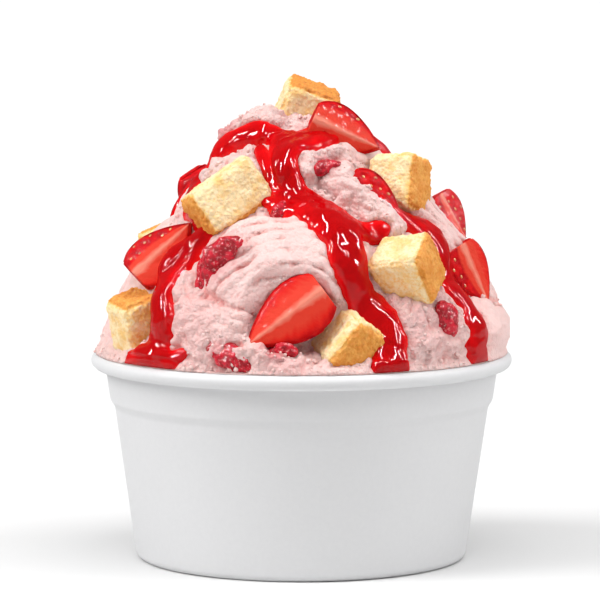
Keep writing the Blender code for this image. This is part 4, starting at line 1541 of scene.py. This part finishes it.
@dataclass
class Strawberries:
    """The cut strawberries, with their seeds."""

    rows: int = 64
    across_cut: int = 20
    round_skin: int = 52
    seed_pitch: float = 2.15
    seed_size: tuple = (0.30, 0.48, 0.20)
    seed_sink: float = 0.34
    seed_margin: float = 1.3
    seed_inset: float = 1.4
    dimple_depth: float = 0.36
    dimple_reach: float = 0.66
    berries: tuple = (
        Berry("top_right", (10.4, -11.6, 97.6), 17.0, 6.8, 150,
              (0.90, 0.10, -0.42), (-0.25, -0.85, 0.35), (0.94, 0.62)),
        Berry("left", (-31.0, -19.6, 72.6), 17.5, 7.0, 160,
              (0.70, 0.16, 0.62), (-0.45, -0.85, 0.20), (0.94, 0.40)),
        Berry("right_low", (39.4, -10.8, 65.6), 15.5, 6.4, 170,
              (0.40, 0.05, -0.90), (0.60, -0.75, 0.30), (0.40, 0.90)),
        Berry("right_high", (34.8, -3.6, 78.2), 12.4, 5.6, 180,
              (0.45, 0.0, -0.85), (0.70, -0.60, 0.35), (0.35, 0.0)),
        Berry("centre", (-3.8, -43.0, 59.4), 21.0, 7.8, 150,
              (-0.78, -0.05, -0.58), (0.10, -0.90, 0.38), (0.86, 0.88)),
        Berry("under_cube", (16.6, -22.2, 84.2), 13.5, 5.4, 170,
              (0.80, 0.10, -0.52), (-0.15, -0.85, 0.45), (0.0, 0.0)),
        Berry("back_high", (16.0, 23.5, 80.0), 18.0, 7.2, 160,
              (-0.55, 0.10, -0.75), (0.30, 0.85, 0.30), (0.94, 0.45)),
        Berry("back_middle", (9.5, 38.5, 67.5), 20.0, 8.0, 150,
              (0.80, 0.05, -0.40), (0.05, 0.90, 0.35), (0.88, 0.80)),
        Berry("back_side", (-24.0, 25.0, 80.0), 15.0, 6.2, 170,
              (0.30, 0.30, -0.85), (-0.65, 0.70, 0.20), (0.0, 0.0)),
        Berry("back_foot", (-32.6, 27.2, 54.5), 17.0, 6.8, 160,
              (0.75, 0.45, -0.25), (-0.50, 0.75, 0.40), (0.45, 0.94)),
    )

    def build(self, finish: BerryFinish, seed_finish: SeedFinish) -> None:
        """Adds every wedge and all the seeds to the scene.

        Args:
            finish: The fruit's finish.
            seed_finish: The seeds' finish.
        """
        material = finish.material()
        seeds = bmesh.new()
        for spot, berry in enumerate(self.berries):
            spread = random.Random("seeds " + berry.name)
            placed = self.seed_spots(berry, spread)
            mesh = self.shaped(berry, placed, Noise(200 + spot))
            nodes = ("strawberry_" + berry.name,)
            add_piece("berry_" + berry.name, mesh, material, nodes)
            self.add_seeds(seeds, berry, placed, spread)
        add_piece("strawberry_seeds", meshed(seeds), seed_finish.material())

    def seed_spots(self, berry: Berry, spread: random.Random) -> list[tuple]:
        """Places of the seeds on the skin and the ways out of it, in the berry's own frame."""
        spots = []
        wedge = math.radians(berry.wedge)
        steps = int(berry.length * 1.1 / self.seed_pitch)
        for row in range(1, steps):
            share = row / steps
            near = (share - 0.02, share, min(share + 0.02, 1.0))
            before, radius, after = (float(berry.span(np.array(at))) for at in near)
            count = int(wedge * radius / (self.seed_pitch * 1.05))
            slope = (after - before) / (0.04 * berry.length)
            for column in range(count):
                part = (column + 0.5 + 0.5 * (row % 2) - 0.25) / count - 0.5
                turn = wedge * part + spread.uniform(-0.05, 0.05)
                if (wedge / 2 - abs(turn)) * radius < self.seed_margin:
                    continue
                height = (share - 0.5) * berry.length + spread.uniform(-0.25, 0.25)
                place = np.array((radius * math.cos(turn), radius * math.sin(turn), height))
                out = np.array((math.cos(turn), math.sin(turn), -slope))
                spots.append((place, out / np.linalg.norm(out)))
        for side, begins in zip((-1, 1), berry.skin_from):
            spots += self.side_spots(berry, side, begins, spread)
        return spots

    def side_spots(self, berry: Berry, side: int, begins: float, spread: random.Random) -> list:
        """Places of the seeds on the skin of one cut side, where it has any."""
        spots = []
        turn = math.radians(side * berry.wedge / 2)
        out = np.array((-math.sin(turn), math.cos(turn), 0.0)) * side
        steps = int(berry.length / self.seed_pitch)
        for row in range(1, steps):
            share = row / steps
            radius = float(berry.span(np.array(share)))
            across = radius - self.seed_inset
            offset = 0.5 * self.seed_pitch * (row % 2)
            while across - offset > begins * radius + 0.5:
                reach = across - offset + spread.uniform(-0.2, 0.2)
                height = (share - 0.5) * berry.length + spread.uniform(-0.25, 0.25)
                place = np.array((reach * math.cos(turn), reach * math.sin(turn), height))
                spots.append((place, out))
                across -= self.seed_pitch
        return spots

    def shaped(self, berry: Berry, seeds: list, grain: Noise) -> bpy.types.Mesh:
        """Makes one wedge with dimpled skin and rayed cuts.

        Args:
            berry: The wedge.
            seeds: Where its seeds sit.
            grain: Its own noise.

        Returns:
            The mesh, in place.
        """
        out = np.linspace(0.0, 1.0, self.across_cut + 1)
        skin = np.linspace(-0.5, 0.5, self.round_skin + 1)[1:-1]
        share_out = np.concatenate([out, np.ones(len(skin)), out[::-1]])
        angle = np.concatenate([np.full(len(out), -0.5), skin, np.full(len(out), 0.5)])
        angle = np.radians(angle * berry.wedge)
        first, second = berry.skin_from
        cut = np.concatenate([
            smoothstep(first + 0.03, first - 0.03, out), np.zeros(len(skin)),
            smoothstep(second + 0.03, second - 0.03, out[::-1]),
        ])
        along = 1.0 - (1.0 - np.linspace(0.0, 1.0, self.rows + 1)) ** 1.25
        radius = berry.span(along)
        up, radial = np.meshgrid(along, share_out, indexing="ij")
        reach = radius[:, None] * share_out[None, :]
        points = np.stack(
            [reach * np.cos(angle), reach * np.sin(angle), (up - 0.5) * berry.length], axis=-1
        )
        cuts = np.broadcast_to(cut, radial.shape)
        side = np.sign(angle)[None, :] * np.ones_like(radial)
        rays = [up * berry.length / 0.8 - radial * 5.0, radial * 1.6, side * 9.0]
        streak = grain.layered(np.stack(rays, axis=-1).reshape(-1, 3), 2).reshape(radial.shape)
        mottle = grain.smooth(points.reshape(-1, 3) / 2.0).reshape(radial.shape)
        ray = -0.12 * streak * smoothstep(0.10, 0.4, radial) + 0.05 * mottle
        ray -= 0.10 * smoothstep(0.35, 0.0, up)
        sheet = Sheet(len(share_out) - 1, self.rows)
        mesh = self.capped(sheet.bend(points, cut=cuts, radial=radial, ray=ray))
        at = get_points(mesh)
        way = get_normals(mesh)
        push = 0.05 * grain.layered(at / 1.4, 2) - self.worn_edge(berry, at)
        for place, _ in seeds:
            gap = np.linalg.norm(at - place, axis=1)
            push -= self.dimple_depth * np.exp(-((gap / self.dimple_reach) ** 2))
        at = at + way * push[:, None]
        set_points(mesh, at @ berry.turn().T + np.array(berry.middle))
        return mesh

    @staticmethod
    def worn_edge(berry: Berry, at: np.ndarray) -> np.ndarray:
        """How far each place is worn back, in mm, near the edges between cuts and skin."""
        turn = np.abs(np.arctan2(at[:, 1], at[:, 0]))
        reach = np.linalg.norm(at[:, :2], axis=1)
        across = np.maximum(math.radians(berry.wedge / 2) - turn, 0.0) * reach
        inward = np.maximum(berry.span(at[:, 2] / berry.length + 0.5) - reach, 0.0)
        return 0.75 * smoothstep(1.5, 0.0, across + inward)

    @staticmethod
    def capped(mesh: bpy.types.Mesh) -> bpy.types.Mesh:
        """Welds a wedge's seams and closes its calyx end."""
        shape = welded(mesh)
        open_edges = [edge for edge in shape.edges if edge.is_boundary]
        bmesh.ops.holes_fill(shape, edges=open_edges, sides=0)
        bmesh.ops.recalc_face_normals(shape, faces=shape.faces)
        return meshed(shape, mesh)

    def add_seeds(
        self, shape: bmesh.types.BMesh, berry: Berry, seeds: list, spread: random.Random
    ) -> None:
        """Adds a berry's seeds to the joined seeds."""
        turn = Matrix(berry.turn().tolist())
        for place, out in seeds:
            way = turn @ Vector(out)
            where = turn @ Vector(place) + Vector(berry.middle) - way * self.seed_sink
            tip = turn @ Vector((0.0, 0.0, 1.0))
            side = tip.cross(way).normalized()
            tip = way.cross(side)
            size = spread.uniform(0.85, 1.15)
            across, length, rise = [value * size for value in self.seed_size]
            frame = Matrix((side * across, tip * length, way * rise)).transposed().to_4x4()
            frame.translation = where
            frame = Matrix.Scale(MM, 4) @ frame
            bmesh.ops.create_uvsphere(shape, u_segments=7, v_segments=5, radius=1.0, matrix=frame)


@dataclass(frozen=True)
class Chunk:
    """A lump of crushed fruit: azimuth, height, sizes in mm, tilt in degrees and bow in mm.

    A loose one is small enough to be part of the ice cream in the solids.
    """

    name: str
    azimuth: float
    height: float
    sizes: tuple
    tilt: float
    bow: float = 0.0
    loose: bool = False


@dataclass
class FruitChunks:
    """Lumps of crushed strawberry that show in the ice cream."""

    mound: Mound
    sink: float = 1.5
    knob: float = 0.05
    knob_size: float = 1.25
    grain: float = 0.22
    grain_size: float = 1.5
    swell: float = 0.9
    swell_size: float = 3.6
    chunks: tuple = (
        Chunk("left", -28.8, 20.8, (6.8, 3.0, 18.4), -38, -3.2),
        Chunk("right", 46, 9.2, (7.0, 5.0, 10.2), 0, 0.6),
        Chunk("low_left", -20.5, 3.4, (12.0, 4.8, 6.4), -28),
        Chunk("middle", -9, 33.6, (7.4, 4.8, 5.4), 30),
        Chunk("back_left", 216, 8.5, (9.0, 5.0, 7.0), 15),
        Chunk("back_right", 144, 6.0, (9.5, 5.0, 6.6), -20),
        Chunk("upper_right", 16, 41.6, (7.6, 3.4, 3.6), 14, 0.0, True),
        Chunk("upper_left", -70, 44.0, (5.6, 4.0, 4.0), 10, 0.0, True),
        Chunk("puddle", -5.5, 4.9, (7.2, 3.6, 4.6), 0, 0.0, True),
    )

    def build(self, finish: ChunkFinish) -> None:
        """Adds every lump to the scene.

        Args:
            finish: The crushed fruit's finish.
        """
        material = finish.material()
        for spot, chunk in enumerate(self.chunks):
            mesh = self.shaped(chunk, Noise(300 + spot))
            nodes = () if chunk.loose else ("fruit_chunk_" + chunk.name,)
            add_piece("crushed_" + chunk.name, mesh, material, nodes)

    def beds(self) -> tuple:
        """Where each lump lies and how far it reaches along each side, in mm."""
        return tuple(
            (self.anchor(chunk)[0], 0.5 * max(chunk.sizes[0], chunk.sizes[2]))
            for chunk in self.chunks
        )

    def shaped(self, chunk: Chunk, grain: Noise) -> bpy.types.Mesh:
        """Makes one knobbly lump, in place."""
        shape = bmesh.new()
        bmesh.ops.create_icosphere(shape, subdivisions=6, radius=0.5)
        mesh = meshed(shape)
        unit = get_points(mesh) * MM
        points = unit * np.array(chunk.sizes)
        seedy = grain.layered(points / self.grain_size, 3)
        push = self.knob * grain.knobs(points / self.knob_size) + self.grain * seedy
        push = push + self.swell * grain.smooth(points / self.swell_size) - 0.3
        way = unit / np.linalg.norm(unit, axis=1, keepdims=True)
        points = points + way * push[:, None]
        points[:, 0] += chunk.bow * ((points[:, 2] / (chunk.sizes[2] / 2.0)) ** 2 - 0.5)
        place, outward = self.anchor(chunk)
        turn = turn_to(Vector((0.0, 0.0, 1.0)), Vector(outward))
        turn = turn @ Matrix.Rotation(math.radians(90), 3, "Z")
        turn = turn @ Matrix.Rotation(math.radians(chunk.tilt), 3, "Y")
        set_points(mesh, points @ np.array(turn).T + place - outward * self.sink)
        add_numbers(mesh, height=np.clip(0.5 + 0.9 * seedy, 0.0, 1.0))
        return mesh

    def anchor(self, chunk: Chunk) -> tuple[np.ndarray, np.ndarray]:
        """The folded surface under a lump and the plain mound's way out there."""
        azimuth = np.array([float(chunk.azimuth)])
        height = np.array([float(chunk.height)])
        base, outward = self.mound.base(azimuth, height)
        facts = self.mound.relief(base, outward)
        lift = facts["lift"] * self.mound.rise(height)
        return (base + outward * lift[:, None])[0], outward[0]


@dataclass
class Crumbs:
    """Loose crumbs of ice cream on the heap, as one piece."""

    count: int = 620
    smallest: float = 0.28
    largest: float = 0.70

    def build(self, grid: MoundGrid, finish: IceCreamFinish) -> None:
        """Scatters the crumbs over rough folds, creases and the lip.

        Args:
            grid: The finished surface of the heap.
            finish: The ice cream's finish.
        """
        spread = np.random.default_rng(77)
        rim = np.exp(-grid.height / 2.5)
        likely = (grid.rough > 0.75) * (0.5 + grid.crease + 2.0 * rim)
        likely = likely * (grid.cover < -0.5) * np.linalg.norm(grid.points[..., :2], axis=-1)
        odds = (likely / likely.sum()).ravel()
        chosen = spread.choice(likely.size, self.count, replace=False, p=odds)
        shape = bmesh.new()
        for spot in chosen:
            row, column = divmod(int(spot), likely.shape[1])
            size = self.smallest + (self.largest - self.smallest) * spread.random() ** 2.2
            turn = Euler(spread.uniform(0.0, math.tau, 3)).to_matrix().to_4x4()
            place = Vector(grid.points[row, column] + grid.normals[row, column] * size * 0.25)
            frame = Matrix.Translation(place * MM) @ turn @ Matrix.Scale(size * MM, 4)
            self.crumb(shape, frame, spread)
        mesh = meshed(shape)
        plain = np.ones(len(mesh.vertices))
        add_numbers(mesh, height=plain * 0.75, rough=plain * 0.5, stain=plain * 0.0)
        add_piece("ice_cream_crumbs", mesh, finish.material())

    @staticmethod
    def crumb(shape: bmesh.types.BMesh, frame: Matrix, spread: np.random.Generator) -> None:
        """Adds one uneven round crumb of a few dozen faces."""
        made = bmesh.ops.create_icosphere(shape, subdivisions=2, radius=1.0)
        for corner in made["verts"]:
            corner.co *= spread.uniform(0.75, 1.15)
        bmesh.ops.transform(shape, matrix=frame, verts=made["verts"])


@dataclass
class Studio:
    """The pale floor, the soft lights and the camera.

    The suns and strips hold what sun() and strip() take. Places are in metres.
    """

    elevation: float = 5.89
    distance: float = 0.9
    aim: tuple = (-0.00034, 0.0, 0.0588)
    lens: float = 236.52
    floor_size: float = 16.0
    glow: float = 0.22
    suns: tuple = (
        ("soft_key", -72.0, 42.0, 36.0, 2.15),
        ("soft_top", 18.0, 75.0, 60.0, 2.1),
        ("soft_side", 84.0, 34.0, 50.0, 1.2),
    )
    strips: tuple = (
        ("left_strip", (-0.66, -0.60, 0.62), 0.06, 0.50, 9.5),
        ("far_left_strip", (-0.95, -0.17, 0.68), 0.06, 0.60, 11.0),
        ("right_strip", (0.72, -0.36, 0.66), 0.05, 0.45, 7.0),
        ("top_strip", (-0.15, -0.35, 0.95), 0.05, 0.80, 13.0),
        ("front_right_strip", (0.45, -0.58, 0.80), 0.05, 0.55, 8.5),
        ("far_right_strip", (0.92, 0.25, 0.60), 0.05, 0.50, 6.0),
    )

    def build(self, finish: FloorFinish) -> None:
        """Adds the floor, lights, world and camera.

        Args:
            finish: The floor's finish.
        """
        shape = bmesh.new()
        bmesh.ops.create_grid(shape, x_segments=1, y_segments=1, size=self.floor_size / 2)
        mesh = meshed(shape)
        mesh.materials.append(finish.material())
        floor = add_object("floor", mesh)
        for values in self.suns:
            self.sun(*values)
        for values in self.strips:
            self.strip(*values)
        self.world()
        self.camera()

    @staticmethod
    def sun(name: str, azimuth: float, elevation: float, spread: float, power: float) -> None:
        """Adds a distant light from a side of the cup, which glossy surfaces don't show.

        Args:
            name: Its name.
            azimuth: The side it shines from, in degrees.
            elevation: How high it stands, in degrees.
            spread: How wide it looks, in degrees.
            power: Its strength.
        """
        light = bpy.data.lights.new(name, "SUN")
        light.energy = power
        light.angle = math.radians(spread)
        lamp = add_object(name, light)
        turn, rise = math.radians(azimuth), math.radians(elevation)
        level = math.cos(rise)
        way = Vector((math.sin(turn) * level, -math.cos(turn) * level, math.sin(rise)))
        lamp.rotation_euler = way.to_track_quat("Z", "Y").to_euler()
        lamp.visible_glossy = False

    def strip(self, name: str, place: tuple, width: float, height: float, power: float) -> None:
        """Adds a narrow bright panel that shows as a streak in glossy surfaces alone.

        Args:
            name: Its name.
            place: Where it stands, in metres.
            width: Its width in metres.
            height: Its height in metres.
            power: Its power in watts.
        """
        light = bpy.data.lights.new(name, "AREA")
        light.shape = "RECTANGLE"
        light.size = width
        light.size_y = height
        light.energy = power
        lamp = add_object(name, light)
        lamp.location = place
        way = Vector(self.aim) - Vector(place)
        lamp.rotation_euler = way.to_track_quat("-Z", "Y").to_euler()
        lamp.visible_diffuse = False

    def world(self) -> None:
        """Lights the cup evenly from all round."""
        world = bpy.data.worlds.new("studio")
        world.use_nodes = True
        back = world.node_tree.nodes["Background"]
        back.inputs["Color"].default_value = (1.0, 1.0, 1.0, 1.0)
        back.inputs["Strength"].default_value = self.glow
        bpy.context.scene.world = world

    def camera(self) -> None:
        """Adds the camera at eye level with the cup."""
        rise = math.radians(self.elevation)
        data = bpy.data.cameras.new("camera")
        data.lens = self.lens
        data.sensor_width = 36.0
        data.clip_start = 0.05
        data.clip_end = 50.0
        camera = add_object("camera", data)
        aim = Vector(self.aim)
        camera.location = aim + Vector((0.0, -math.cos(rise), math.sin(rise))) * self.distance
        camera.rotation_euler = (math.radians(90) - rise, 0.0, 0.0)
        bpy.context.scene.camera = camera


def main() -> None:
    """Builds every piece in order."""
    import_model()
    bpy.context.scene.view_settings.view_transform = "Standard"
    mound = Mound()
    streams = Streams()
    Studio().build(FloorFinish())
    PaperCup().build(PaperFinish())
    chunks = FruitChunks(mound)
    heap = IceCream(mound, streams, fruit=chunks.beds()).build(IceCreamFinish())
    Crumbs().build(heap, IceCreamFinish())
    Sauce(mound, streams).build(SauceFinish())
    CakeCubes().build(CakeFinish())
    Strawberries().build(BerryFinish(), SeedFinish())
    chunks.build(ChunkFinish())


if __name__ == "__main__":
    main()
